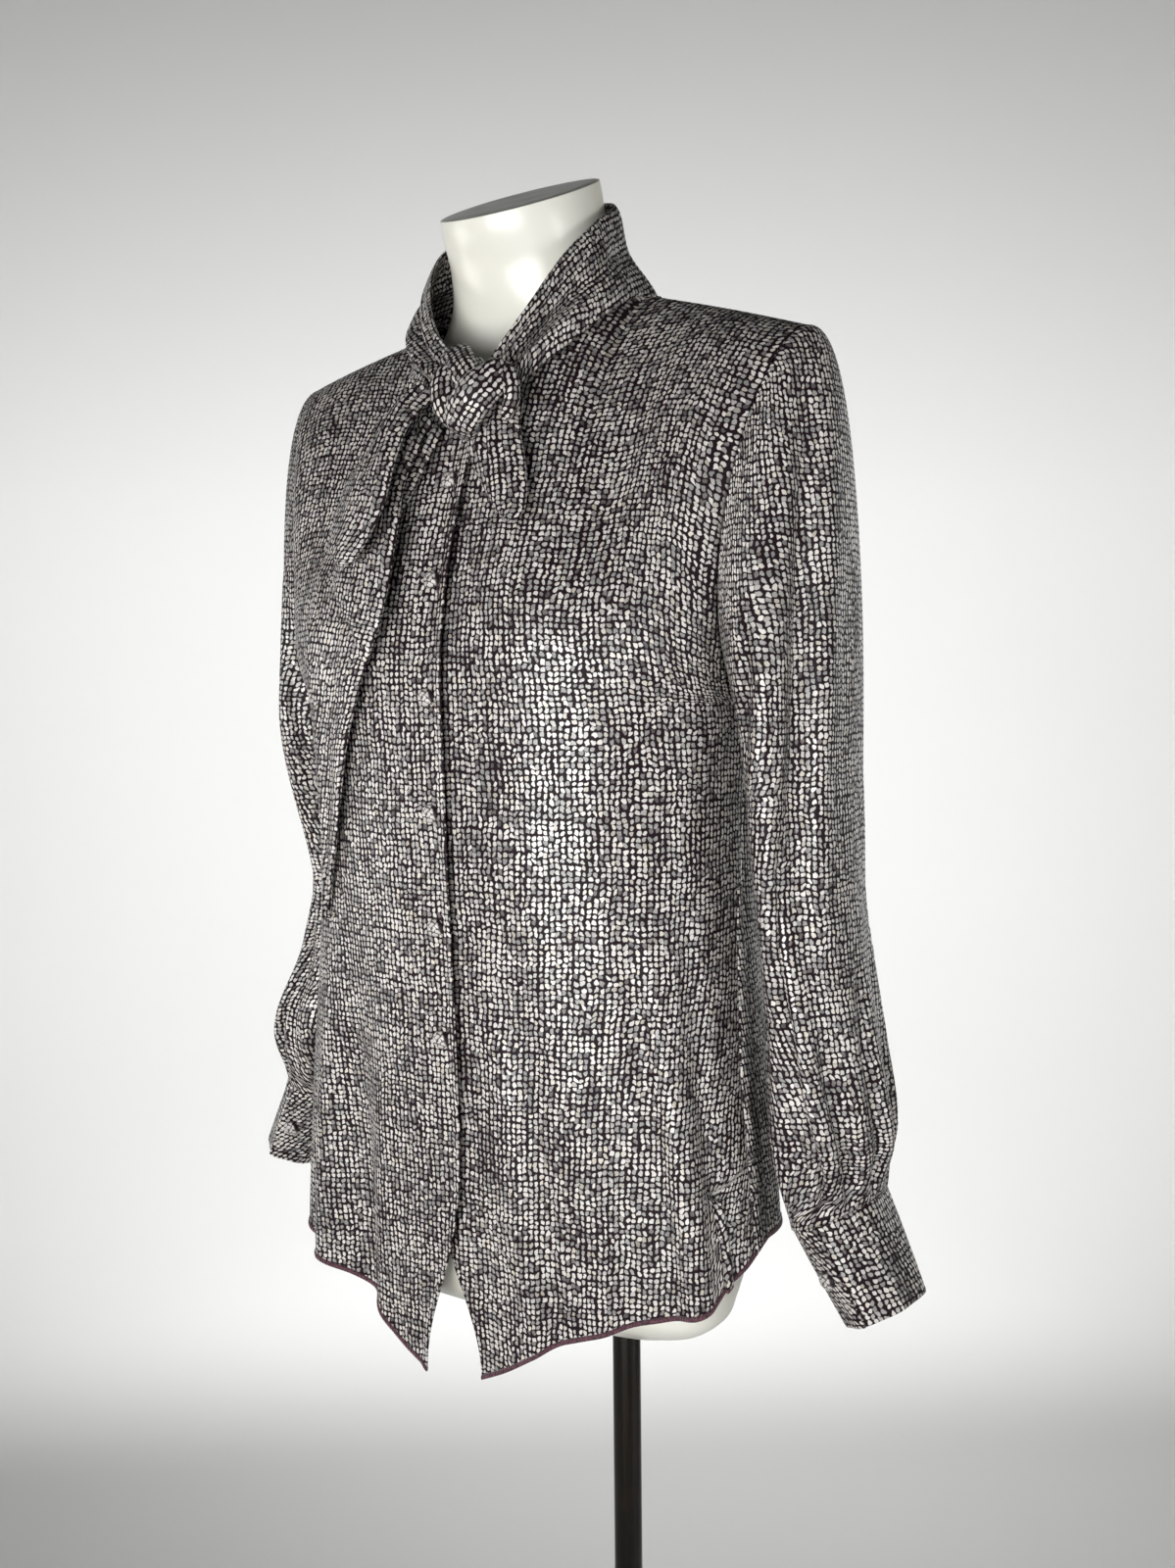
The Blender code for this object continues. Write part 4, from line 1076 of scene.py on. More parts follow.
def sleeve_surface():
    """Outer points of the left sleeve: rings from the armhole to the cuff's seam."""
    turn = 2 * math.pi * np.arange(SLEEVE_TURNS) / SLEEVE_TURNS
    half = SLEEVE_TURNS // 2
    columns = np.arange(SLEEVE_TURNS)
    back = columns > half
    share = np.where(back, SLEEVE_TURNS - columns, columns) / half
    start = np.where(back[:, None], armhole_points(share, True), armhole_points(share, False))
    stop = sleeve_rings(np.full_like(turn, SLEEVE_TOP_Z), turn)
    high = ((1 - np.cos(turn)) / 2)[:, None]
    over = np.stack([stop[:, 0] + 0.002 * high[:, 0], start[:, 1], start[:, 2] + 0.003 * high[:, 0]], axis=1)
    under = (start + stop) / 2 + np.array([0.002, 0.0, 0.0])
    bend = over * high + under * (1 - high)
    t = np.linspace(0, 1, CAP_RINGS + 1)[:, None, None]
    cap = (1 - t) ** 2 * start + 2 * t * (1 - t) * bend + t * t * stop
    heights = np.linspace(SLEEVE_TOP_Z, CUFF_SEAM_Z, HANG_RINGS + 1)[1:, None]
    hang = sleeve_rings(heights, turn[None])
    return np.concatenate([cap, hang])


def mirrored(grid, side):
    """A left sleeve's points, or those of the right sleeve, which hangs a little closer and higher."""
    if side > 0:
        return grid
    moved = grid * np.array([-1.0, 1.0, 1.0])
    height = grid[..., 2]
    hang = ease(-height, -1.14, -1.00) * (1 - ease(-height, -0.95, -0.85))
    outer = ease(grid[..., 0], 0.170, 0.205)
    moved[..., 0] += RIGHT_TUCK * hang + RIGHT_SLIM * outer * hump(height, 1.190, 0.065)
    moved[..., 1] += RIGHT_BACK * hang
    moved[..., 2] += RIGHT_LIFT * ease(-height, -1.05, -0.88)
    return moved


def tube_map(grid):
    """The print's place on a tube in metres, with a column more than the points for the closing seam."""
    closed = np.concatenate([grid, grid[:, :1]], axis=1)
    around = run_lengths(closed, 1)
    around -= around[:, -1:] / 2
    down = run_lengths(closed, 0)
    return np.stack([around, -down.mean(axis=1, keepdims=True) + 0 * down], axis=-1)


def sleeve_map(grid):
    """The print's place on a sleeve: the grain hangs straight, and the cap carries it on upwards."""
    closed = np.concatenate([grid, grid[:, :1]], axis=1)
    grain = unit(np.gradient(closed, axis=0))
    step = np.diff(closed, axis=1)
    middle = (grain[:, 1:] + grain[:, :-1]) / 2
    step -= middle * np.sum(step * middle, axis=2, keepdims=True)
    around = np.insert(np.cumsum(np.linalg.norm(step, axis=2), axis=1), 0, 0.0, axis=1)
    around -= around[:, SLEEVE_TURNS // 2, None]
    down = run_lengths(closed, 0)
    down = down - down[CAP_RINGS]
    hang = down[CAP_RINGS:].mean(axis=1, keepdims=True)
    down = np.concatenate([down[:CAP_RINGS], hang + 0 * down[CAP_RINGS:]])
    return np.stack([around, -down], axis=-1)


def sleeve_cloth(side):
    """One sleeve, gathered into its cuff."""
    grid = sleeve_surface()
    normals = grid_normals(grid, True)
    if np.sum(normals * (grid - grid.mean(axis=1, keepdims=True))) < 0:
        normals = -normals
    turns = np.arange(SLEEVE_TURNS)[None] / SLEEVE_TURNS
    push = crease_push(turns + 0 * grid[..., 2], grid[..., 2], SLEEVE_CREASES, SLEEVE_ROUND)
    rings = np.arange(len(grid))[:, None]
    push *= ease(rings, 2, 22) * (1 - ease(rings, len(grid) - 7, len(grid) - 1))
    grid = grid + normals * push[..., None]
    uv = sleeve_map(grid)
    for edge in ("bottom", "top"):
        grid = drawn_in(grid, edge, SEAM_GAP)
    grid = mirrored(grid, side)
    word = side_word(side)
    cloth = sheet_of(
        f"sleeve_{word}_silk",
        grid,
        uv * (side, 1),
        finish_named("silk_print"),
        sizes().cloth,
        closed_rows=True,
        outward=side < 0,
    )
    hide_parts(f"sleeve_{word}")
    pieces_ride(cloth)
    return cloth


def cuff_cloth(side):
    """One cuff: a band that overlaps itself at the front, closed by its button."""
    edges = (0.25 - CUFF_EDGE_TURN, 1.25 - CUFF_EDGE_TURN + CUFF_OVERLAP)
    turn = 2 * math.pi * np.linspace(*edges, SLEEVE_TURNS + 1)
    top = sleeve_rings(np.full_like(turn, CUFF_SEAM_Z), turn, pleated=False)
    centre = top[:-1].mean(axis=0)
    axis = np.array([math.sin(CUFF_LEAN), 0.0, -math.cos(CUFF_LEAN)])
    spread = np.linspace(0.0, 1.0, len(turn))[:, None]
    rings = []
    for t in np.linspace(0, 1, CUFF_RINGS + 1):
        swell = 1 + (CUFF_FLARE - 1) * t
        spokes = (top - centre) * swell
        outward = unit(spokes)
        lap = outward * (CUFF_LAP * ease(spread, 0.90, 1.0) - CUFF_INSET)
        soft = outward * CUFF_RIPPLE * np.sin(7 * turn[:, None] + 3 * t)
        rings.append(centre + spokes + lap + soft + axis * CUFF_DEPTH * t)
    grid = np.array(rings)
    uv = np.stack([run_lengths(grid, 1), -run_lengths(grid, 0)], axis=-1)
    word = side_word(side)
    cloth = sheet_of(
        f"cuff_{word}_silk",
        mirrored(grid, side),
        uv,
        finish_named("silk_print"),
        CUFF_CLOTH,
        outward=side < 0,
    )
    edge = math.radians(60)
    apply_modifier(cloth, "BEVEL", width=CUFF_BEVEL, segments=2, limit_method="ANGLE", angle_limit=edge)
    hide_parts(f"cuff_{word}")
    pieces_ride(cloth)
    return cloth


# Collar and tie

COLLAR_AT = spline_table(COLLAR, COLLAR_COLUMNS)
COLLAR_HALF = 110
COLLAR_ROWS = 26
# How far the collar's lower edge laps over the back
COLLAR_OVER = 0.014
# The lengthwise fold that the collar is rolled over at, and the pleats near its knot
VALLEY_DEPTH = 0.0085
RIDGE_HEIGHT = 0.0050
COLLAR_PLEAT_DEPTH = 0.0026
# Half the thickness of a band, and how far its middle lies under the drawn face
COLLAR_THICK = 0.0017
COLLAR_UNDER = 0.0013
TIE_THICK = 0.0016
TIE_UNDER = 0.0012
TIE_PLEAT_DEPTH = 0.0014
STRIP_LENGTHS = 72
STRIP_WIDTHS = 30


def band_grid(front, normals, half_thick):
    """A closed, soft-edged band round a grid of points: rows run along it, and each ring goes round it."""
    t = np.linspace(0, 1, front.shape[1])
    round_edge = np.clip(1 - np.abs(2 * t - 1) ** 6, 0, 1) ** 0.5
    push = normals * (half_thick * round_edge)[:, None]
    return np.concatenate([front + push, (front - push)[:, ::-1][:, 1:-1]], axis=1)


def closed_band(name, grid, uv_shift, material):
    """A closed tube of cloth with its two ends filled."""
    rows, columns, _ = grid.shape
    uv = tube_map(grid) + uv_shift
    faces, corners = grid_faces(rows, columns, True)
    loops = uv[corners[:, 0], corners[:, 1]]
    ends = []
    end_uvs = []
    for r in (0, rows - 1):
        ring = [r * columns + c for c in range(columns)]
        for c in range(columns // 2):
            a, b = ring[c], ring[c + 1]
            d, e = ring[(-c) % columns], ring[-c - 1]
            corners_here = [a, b, e, d] if c else [a, b, e]
            if len(set(corners_here)) < 3:
                continue
            ends.append(tuple(dict.fromkeys(corners_here)))
            end_uvs += [uv[r, c]] * len(ends[-1])
    faces += ends
    loops = np.concatenate([loops, np.array(end_uvs)])
    band = add_mesh(name, grid.reshape(-1, 3) + FIGURE, faces, loops, material)
    outward_everywhere(band)
    return band


def collar_cloth():
    """The standing collar, one folded band from the knot round the neck and back to it."""
    columns = []
    for k in range(-COLLAR_HALF, COLLAR_HALF + 1):
        turn = 1 - abs(k) / COLLAR_HALF
        side = -1 if k < 0 else 1
        at = {name: float(f(turn)) for name, f in COLLAR_AT.items()}
        low = np.array([side * at["low_x"], at["low_y"], at["low_z"]])
        top = np.array([side * at["top_x"], at["top_y"], at["top_z"]])
        low[0] += KNOT_CENTRE[0] * (1 - turn) ** 4
        top[0] += 0.6 * KNOT_CENTRE[0] * (1 - turn) ** 4
        out = unit(np.array([low[0], low[1] + 0.005, 0.0]))
        rear = float(ease(turn, 0.40, 0.62))
        over = float(ease(turn, 0.52, 0.86))
        low += out * COLLAR_OVER * 0.28 * over - np.array([0.0, 0.0, COLLAR_OVER]) * over
        t = np.linspace(0, 1, COLLAR_ROWS + 1)
        arc = np.sin(math.pi * t)
        roll = COLLAR_BULGE * (1 - rear) * (0.3 + 0.7 * turn) * arc - COLLAR_HOLLOW * rear * arc**2
        middle = 0.44 + 0.12 * turn if side > 0 else 0.56 - 0.10 * turn
        valley = -VALLEY_DEPTH * hump(t, middle, 0.075) + RIDGE_HEIGHT * hump(t, middle - 0.24, 0.14)
        pleats = COLLAR_PLEAT_DEPTH * np.sin(2 * math.pi * (3.2 * t + 0.9 * turn))
        pleats = pleats * (1 - ease(turn, 0.10, 0.40))
        folded = ease(turn, 0.02, 0.16) * (1 - 0.65 * ease(turn, 0.22, 0.42)) * (1 - ease(turn, 0.50, 0.75))
        roll = roll + valley * folded + pleats
        columns.append(low + (top - low) * t[:, None] + out * roll[:, None])
    grid = np.array(columns)
    normals = grid_normals(grid, False)
    if np.sum(normals[..., 1] * np.sign(grid[..., 1])) < 0:
        normals = -normals
    band = band_grid(grid - normals * COLLAR_UNDER, normals, COLLAR_THICK)
    cloth = closed_band("collar_silk", band, (0.0, 0.0), finish_named("silk_print"))
    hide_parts("collar")
    pieces_ride(cloth)
    return cloth


CHEST_COLUMNS = 13
CHEST_TRUNK_ROWS = 10
CHEST_YOKE_ROWS = 12


def chest_triangles():
    """The triangles of both fronts' coarse faces, as seen from the front."""
    shares = np.linspace(0, 1, CHEST_COLUMNS)
    found = {}
    for side in (1, -1):
        grid = panel_surface(side, False, shares, CHEST_TRUNK_ROWS, CHEST_YOKE_ROWS)
        corners = [grid[:-1, :-1], grid[:-1, 1:], grid[1:, 1:], grid[1:, :-1]]
        corners = np.stack(corners, axis=2).reshape(-1, 4, 3)
        found[side] = np.concatenate([corners[:, [0, 1, 2]], corners[:, [0, 2, 3]]])
    return found


CHEST = chest_triangles()


def chest_y(x, z):
    """The y of the right or left front's outer face at a point seen from the front."""
    triangles = CHEST[1 if x > 0 else -1]
    z = min(z, FRONT_NECK[2] - 0.006)
    a, b, c = triangles[:, 0], triangles[:, 1], triangles[:, 2]
    area = (b[:, 0] - a[:, 0]) * (c[:, 2] - a[:, 2]) - (c[:, 0] - a[:, 0]) * (b[:, 2] - a[:, 2])
    u = ((x - a[:, 0]) * (c[:, 2] - a[:, 2]) - (c[:, 0] - a[:, 0]) * (z - a[:, 2])) / area
    v = ((b[:, 0] - a[:, 0]) * (z - a[:, 2]) - (x - a[:, 0]) * (b[:, 2] - a[:, 2])) / area
    k = int(np.argmax(np.minimum(np.minimum(u, v), 1 - u - v)))
    return float(a[k, 1] + u[k] * (b[k, 1] - a[k, 1]) + v[k] * (c[k, 1] - a[k, 1]))


def strip_grid(table, rows, columns, crown, ripple):
    """Front points of a hanging stretch of the tie, between its two edges, off the chest's face."""
    at = spline_table(table, TAIL_COLUMNS)
    grid = np.zeros((rows + 1, columns + 1, 3))
    for r in range(rows + 1):
        share = r / rows
        now = {name: float(f(share)) for name, f in at.items()}
        for c in range(columns + 1):
            t = c / columns
            x = now["left_x"] + (now["right_x"] - now["left_x"]) * t
            z = now["left_z"] + (now["right_z"] - now["left_z"]) * t
            off = now["left_off"] + (now["right_off"] - now["left_off"]) * t
            off += crown * math.sin(math.pi * t) * (0.4 + 0.6 * share)
            off += ripple * math.sin(2.5 * math.pi * t + 0.6) * float(ease(share, 0.1, 0.5))
            grid[r, c] = (x, chest_y(x, z) - off, z)
    return grid


STRIP_COLUMNS = ("node", "table", "crown", "ripple", "pleats", "flat_width", "flat_length")
STRIPS = (
    ("tie_end_right", LONG_END, 0.0015, 0.0015, 3, 0.062, 0.345),
    ("tie_fold_right", FOLD, 0.002, 0.0, 4, 0.060, 0.165),
    ("tie_loop_right", LOOP, 0.006, 0.0, 3, 0.062, 0.140),
    ("tie_end_left", SHORT_END, 0.006, 0.0, 4, 0.038, 0.080),
)


def tie_strips():
    """The stretches of the tie that hang from the knot."""
    for row in STRIPS:
        strip = dict(zip(STRIP_COLUMNS, row))
        grid = strip_grid(strip["table"], STRIP_LENGTHS, STRIP_WIDTHS, strip["crown"], strip["ripple"])
        normals = grid_normals(grid, False)
        if np.sum(normals[..., 1]) > 0:
            normals = -normals
        t = np.linspace(0, 1, grid.shape[1])[None]
        s = np.linspace(0, 1, grid.shape[0])[:, None]
        pleat = np.sin(2 * math.pi * strip["pleats"] * t + 1.3 * s) * TIE_PLEAT_DEPTH
        pleat = pleat * (1 - ease(s, 0.05, 0.75))
        grid = grid + normals * (pleat * np.sin(math.pi * t))[..., None]
        band = band_grid(grid - normals * TIE_UNDER, normals, TIE_THICK)
        cloth = closed_band(f"{strip['node']}_silk", band, (0.01, 0.02), finish_named("silk_print"))
        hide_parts(strip["node"])
        pieces_ride(cloth)


# Rolls of the knot: their centre line, half their width and thickness along it, and their turn about it
ROLL_COLUMNS = ("share", "x", "y", "z", "half_width", "half_thick", "lean")
ROLL_TURNS = 72
ROLL_RINGS = 40
ROLL_SWELL = 1.08
FURROW_DEPTH = 0.13
KNOT_ROLLS = {
    "core": (
        (0.00, 0.006, -0.094, 1.352, 0.010, 0.007, 0.0),
        (0.35, 0.015, -0.099, 1.341, 0.015, 0.009, 0.0),
        (0.70, 0.022, -0.102, 1.326, 0.015, 0.010, 0.0),
        (1.00, 0.026, -0.101, 1.310, 0.010, 0.006, 0.0),
    ),
    "wrap": (
        (0.00, 0.0470, -0.0980, 1.3440, 0.0080, 0.0035, 0.4),
        (0.25, 0.0440, -0.1120, 1.3370, 0.0105, 0.0050, 0.2),
        (0.50, 0.0340, -0.1200, 1.3250, 0.0125, 0.0055, 0.0),
        (0.75, 0.0225, -0.1170, 1.3130, 0.0120, 0.0050, -0.1),
        (1.00, 0.0150, -0.1020, 1.3050, 0.0090, 0.0035, -0.2),
    ),
    "left_roll": (
        (0.00, 0.0020, -0.0930, 1.3500, 0.0080, 0.0050, 0.0),
        (0.35, 0.0040, -0.1080, 1.3400, 0.0095, 0.0075, 0.0),
        (0.70, 0.0075, -0.1130, 1.3255, 0.0090, 0.0075, 0.0),
        (1.00, 0.0140, -0.1060, 1.3090, 0.0065, 0.0050, 0.0),
    ),
    "throat": (
        (0.00, -0.0060, -0.0900, 1.3600, 0.0090, 0.0040, 0.0),
        (0.35, 0.0070, -0.1000, 1.3540, 0.0105, 0.0055, 0.0),
        (0.70, 0.0200, -0.1100, 1.3440, 0.0100, 0.0055, 0.0),
        (1.00, 0.0320, -0.1120, 1.3330, 0.0070, 0.0035, 0.0),
    ),
    "right_loop": (
        (0.00, 0.0400, -0.1000, 1.3480, 0.0050, 0.0035, 0.0),
        (0.35, 0.0500, -0.1060, 1.3390, 0.0060, 0.0040, 0.0),
        (0.70, 0.0530, -0.1070, 1.3260, 0.0050, 0.0040, 0.0),
        (1.00, 0.0450, -0.1040, 1.3130, 0.0040, 0.0030, 0.0),
    ),
}
PLEATS_OF_ROLL = {"core": 3, "wrap": 5, "left_roll": 4, "throat": 4, "right_loop": 3}


def knot_roll(name, table, pleats):
    """One soft roll of cloth with lengthwise pleats."""
    at = spline_table(table, ROLL_COLUMNS)
    shares = np.linspace(0, 1, ROLL_RINGS)
    path = np.stack([at[k](shares) for k in ("x", "y", "z")], axis=1)
    along = unit(np.gradient(path, axis=0))
    out = path - np.array([KNOT_CENTRE[0], KNOT_CENTRE[1] + 0.02, KNOT_CENTRE[2]])
    out = unit(out - along * np.sum(out * along, axis=1, keepdims=True))
    across = np.cross(along, out)
    lean = at["lean"](shares)[:, None]
    across, out = across * np.cos(lean) + out * np.sin(lean), out * np.cos(lean) - across * np.sin(lean)
    rings = []
    for k in range(ROLL_TURNS):
        turn = 2 * math.pi * k / ROLL_TURNS
        furrow = -abs(math.sin(pleats * turn / 2 + 0.4)) ** 0.5
        pleat = ROLL_SWELL + FURROW_DEPTH * furrow * (0.6 + 0.4 * np.sin(math.pi * shares))
        end = np.clip(1 - (2 * shares - 1) ** 8, 0.05, 1) ** 0.5
        wide = at["half_width"](shares) * math.cos(turn) * pleat * end
        thick = at["half_thick"](shares) * math.sin(turn) * pleat * end
        rings.append(path + across * wide[:, None] + out * thick[:, None])
    return closed_band(name, np.stack(rings, axis=1), (0.003, 0.001), finish_named("silk_print"))


def tie_knot():
    """The knot, joined from the rolls that wrap round each other."""
    rolls = [knot_roll(f"knot_{name}", table, PLEATS_OF_ROLL[name]) for name, table in KNOT_ROLLS.items()]
    only(rolls[0])
    for roll in rolls[1:]:
        roll.select_set(True)
    bpy.ops.object.join()
    knot = rolls[0]
    knot.name = "tie_knot_silk"
    knot.data.name = "tie_knot_silk"
    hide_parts("tie_knot")
    pieces_ride(knot)
    return knot


# Buttons

# A buttonhole's ring before it is narrowed, its thread, and how far it shows beside its button
HOLE_RADIUS = 0.0078
HOLE_THREAD = 0.00070
HOLE_NARROWING = 0.18
FRONT_HOLE_ASIDE = 0.0052
CUFF_HOLE_ASIDE = 0.0040
BUTTON_DOME = 0.78


def button_seat(node):
    """The foot of a packed button and the way that it faces."""
    points = np.array([v.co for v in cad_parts[node].data.vertices], float)
    middle = points.mean(axis=0)
    _, _, axes = np.linalg.svd(points - middle)
    outward = axes[2]
    heights = (points - middle) @ outward
    if abs(heights.min()) > abs(heights.max()):
        outward, heights = -outward, -heights
    return middle + outward * heights.min(), outward


def turn_towards(outward):
    """A turn that stands a piece made along +Z on a surface facing outward, its +Y kept upwards."""
    outward = Vector(outward).normalized()
    across = Vector((0.0, 0.0, 1.0)).cross(outward).normalized()
    up = outward.cross(across)
    return Matrix((across, up, outward)).transposed().to_4x4()


def place_mesh(thing, matrix):
    """Puts a piece where the matrix says, with its place in its mesh."""
    thing.data.transform(matrix)
    thing.matrix_world = Matrix.Identity(4)


def add_button():
    """A domed button covered in the print: a flattened ball, cut flat at its foot."""
    bpy.ops.object.select_all(action="DESELECT")
    radius, height = sizes().button_radius, sizes().button_height
    bpy.ops.mesh.primitive_uv_sphere_add(segments=40, ring_count=24, radius=radius)
    button = bpy.context.active_object
    bpy.ops.object.mode_set(mode="EDIT")
    bpy.ops.mesh.select_all(action="SELECT")
    bpy.ops.transform.resize(value=(1.0, 1.0, height / radius * BUTTON_DOME))
    bpy.ops.transform.translate(value=(0.0, 0.0, height * (1 - BUTTON_DOME)))
    bpy.ops.mesh.select_all(action="SELECT")
    bpy.ops.mesh.bisect(
        plane_co=(0.0, 0.0, -0.0002), plane_no=(0.0, 0.0, 1.0), use_fill=True, clear_inner=True
    )
    bpy.ops.object.mode_set(mode="OBJECT")
    bpy.ops.object.shade_smooth_by_angle(angle=math.radians(50))
    layer = button.data.uv_layers.active
    layer.name = "cloth"
    for loop in button.data.loops:
        place = button.data.vertices[loop.vertex_index].co
        layer.data[loop.index].uv = (place.x, place.y)
    return button


def add_buttonhole():
    """A worked buttonhole: a long ring of thread lying flat."""
    bpy.ops.object.select_all(action="DESELECT")
    bpy.ops.mesh.primitive_torus_add(
        major_segments=48, minor_segments=8, major_radius=HOLE_RADIUS, minor_radius=HOLE_THREAD
    )
    hole = bpy.context.active_object
    bpy.ops.object.mode_set(mode="EDIT")
    bpy.ops.mesh.select_all(action="SELECT")
    bpy.ops.transform.resize(value=(HOLE_NARROWING, 1.0, 0.9))
    bpy.ops.object.mode_set(mode="OBJECT")
    bpy.ops.object.shade_smooth()
    hole.data.uv_layers.active.name = "cloth"
    return hole


def copy_of(thing, name):
    made = in_scene(name, thing.data.copy())
    made.data.name = name
    return made


def buttons_and_holes():
    """The six buttons of the front and one on each cuff, each at its buttonhole."""
    button, hole = add_button(), add_buttonhole()
    button.data.materials.append(finish_named("button_cover"))
    hole.data.materials.append(finish_named("overlock_thread"))
    nodes = [f"button_{k}" for k in range(1, 7)] + ["cuff_button_left", "cuff_button_right"]
    for node in nodes:
        foot, outward = button_seat(node)
        stand = Matrix.Translation(Vector(foot)) @ turn_towards(outward)
        made = copy_of(button, f"{node}_covered")
        place_mesh(made, stand @ Matrix.Translation((0.0, 0.0, 0.0005)))
        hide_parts(node)
        ring = copy_of(hole, f"{node}_hole")
        on_front = node.startswith("button")
        aside = FRONT_HOLE_ASIDE if on_front else CUFF_HOLE_ASIDE
        turn = 0.0 if on_front else math.pi / 2
        lie = Matrix.Translation((aside, 0.0, -0.0001)) @ Matrix.Rotation(turn, 4, "Z")
        place_mesh(ring, stand @ lie)
        pieces_ride(made, ring)
    for pattern in (button, hole):
        bpy.data.objects.remove(pattern)


# The dress form and its stand


FORM_AT = spline_table(FORM, SECTION_COLUMNS)
FORM_TURNS = 128
FORM_RINGS = 150
PLATE_RINGS = 4
PLATE_REACH = 0.98
EDGE_ROUND = 0.0012


def form_rings():
    """Rings of the form, from its bottom up to the slanted edge of the neck plate."""
    turn = 2 * math.pi * np.arange(FORM_TURNS) / FORM_TURNS
    knots = np.array([row[0] for row in FORM])
    heights = np.interp(np.linspace(0, len(FORM) - 1, FORM_RINGS), np.arange(len(FORM)), knots)[:, None]
    at = {k: f(heights) for k, f in FORM_AT.items()}
    cosine = np.cos(turn)[None]
    deep = np.where(cosine > 0, at["front"], at["back"])
    x = at["half_width"] * np.sin(turn)[None]
    y = at["side"] + (deep - at["side"]) * np.abs(cosine) ** 0.9
    slant = np.tan(NECK_SLANT * ease(heights, NECK_START_Z, knots[-1]))
    arch = FORM_ARCH * (1 - ease(heights, knots[0], 0.800))
    z = heights + slant * (y - at["side"]) + arch * ease(-y, 0.02, 0.10)
    return np.stack([x, y, z], axis=-1)


def towards(ring, share):
    """A ring drawn in towards its own middle."""
    middle = ring.mean(axis=0)
    return middle + (ring - middle) * (1 - share)


def smooth_form():
    """The dress form: a smooth shell with a rounded rim round its bottom and round its neck plate."""
    side = form_rings()
    top_width = np.ptp(side[-1][:, 0])
    inset = 2 * EDGE_ROUND / top_width
    side[-1] = towards(side[-1], inset * 0.3) - np.array([0.0, 0.0, EDGE_ROUND * 0.1])
    rings = [towards(side[0], 1 - k / PLATE_RINGS * PLATE_REACH) for k in range(PLATE_RINGS)]
    rings += list(side)
    rings += [towards(side[-1], inset) + np.array([0.0, 0.0, EDGE_ROUND * 0.3])]
    rings += [towards(rings[-1], k / PLATE_RINGS * PLATE_REACH) for k in range(1, PLATE_RINGS + 1)]
    grid = np.array(rings)
    faces, corners = grid_faces(len(grid), FORM_TURNS, True)
    last = (len(grid) - 1) * FORM_TURNS
    faces.append(tuple(range(FORM_TURNS)))
    faces.append(tuple(last + c for c in range(FORM_TURNS)))
    loops = np.zeros((len(corners) + 2 * FORM_TURNS, 2))
    points = grid.reshape(-1, 3) + FIGURE
    form = add_mesh("dress_form_shell", points, faces, loops, finish_named("white_lacquer"))
    form.data.materials.append(finish_named("neck_plate_painted_shade"))
    plate_from = (len(grid) - 1 - PLATE_RINGS) * FORM_TURNS
    for face in form.data.polygons:
        if min(face.vertices) >= plate_from:
            face.material_index = 1
    outward_everywhere(form)
    bpy.ops.object.shade_smooth_by_angle(angle=math.radians(35))
    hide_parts("dress_form")
    pieces_ride(form)
    return form


def round_metal(node, name, turns, edge):
    """A turned metal piece on the pole's axis, the size of its node, with rounded edges."""
    low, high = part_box(node)
    bpy.ops.object.select_all(action="DESELECT")
    radius, depth = (high.x - low.x) / 2, high.z - low.z
    middle = ((low.x + high.x) / 2, (low.y + high.y) / 2, (low.z + high.z) / 2)
    bpy.ops.mesh.primitive_cylinder_add(vertices=turns, radius=radius, depth=depth, location=middle)
    metal = bpy.context.active_object
    metal.name = name
    metal.data.name = name
    bpy.ops.object.mode_set(mode="EDIT")
    bpy.ops.mesh.select_all(action="DESELECT")
    bpy.ops.object.mode_set(mode="OBJECT")
    for line in metal.data.edges:
        ends = [metal.data.vertices[k].co.z for k in line.vertices]
        line.select = abs(ends[0] - ends[1]) < 1e-6
    bpy.ops.object.mode_set(mode="EDIT")
    bpy.ops.mesh.bevel(offset=edge, segments=4, profile=0.5)
    bpy.ops.object.mode_set(mode="OBJECT")
    bpy.ops.object.transform_apply(location=True, rotation=True, scale=True)
    bpy.ops.object.shade_smooth_by_angle(angle=math.radians(40))
    metal.data.materials.clear()
    metal.data.materials.append(finish_named("bronze_lacquer"))
    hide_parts(node)
    pieces_ride(metal)
    return metal


def stand_pieces():
    """The base plate, the pole's socket on it and the pole."""
    base = round_metal("stand_base", "stand_base_disc", 128, 0.0018)
    socket = round_metal("stand_socket", "stand_socket_collar", 64, 0.0022)
    pole = round_metal("stand_pole", "stand_pole_tube", 48, 0.0008)


# Stage

STAGE_RADIUS = 3.6
STAGE_BEND = 1.6
STAGE_TOP = 3.3
STAGE_SIDES = 96
STAGE_STEPS = 12
WORLD_COLOUR = (0.93, 0.95, 1.0, 1.0)
WORLD_STRENGTH = 0.03
# Where the lamps stand round the pole, what they look at, their size, power and spread
LIGHT_COLUMNS = (
    "name", "azimuth", "distance", "height", "aim_out", "aim", "width", "tall", "power", "spread"
)
LIGHTS = (
    ("key", 10.0, 1.55, 0.90, 0.0, 1.05, 1.5, 0.6, 6.8, 74.0),
    ("right_window", 92.0, 2.4, 0.80, 0.0, 1.00, 1.2, 1.0, 9.5, 140.0),
    ("left_fill", -66.0, 2.4, 0.80, 0.0, 1.00, 1.2, 1.0, 5.5, 140.0),
    ("wall_wash", 216.0, 0.9, 1.15, 2.0, 1.15, 2.6, 1.0, 48.0, 140.0),
    ("floor_pool", 212.0, 1.4, 1.00, 1.4, 0.0, 1.6, 1.2, 3.2, 110.0),
    ("behind", 165.0, 2.9, 1.20, 0.0, 1.00, 2.0, 1.6, 4.0, 140.0),
)


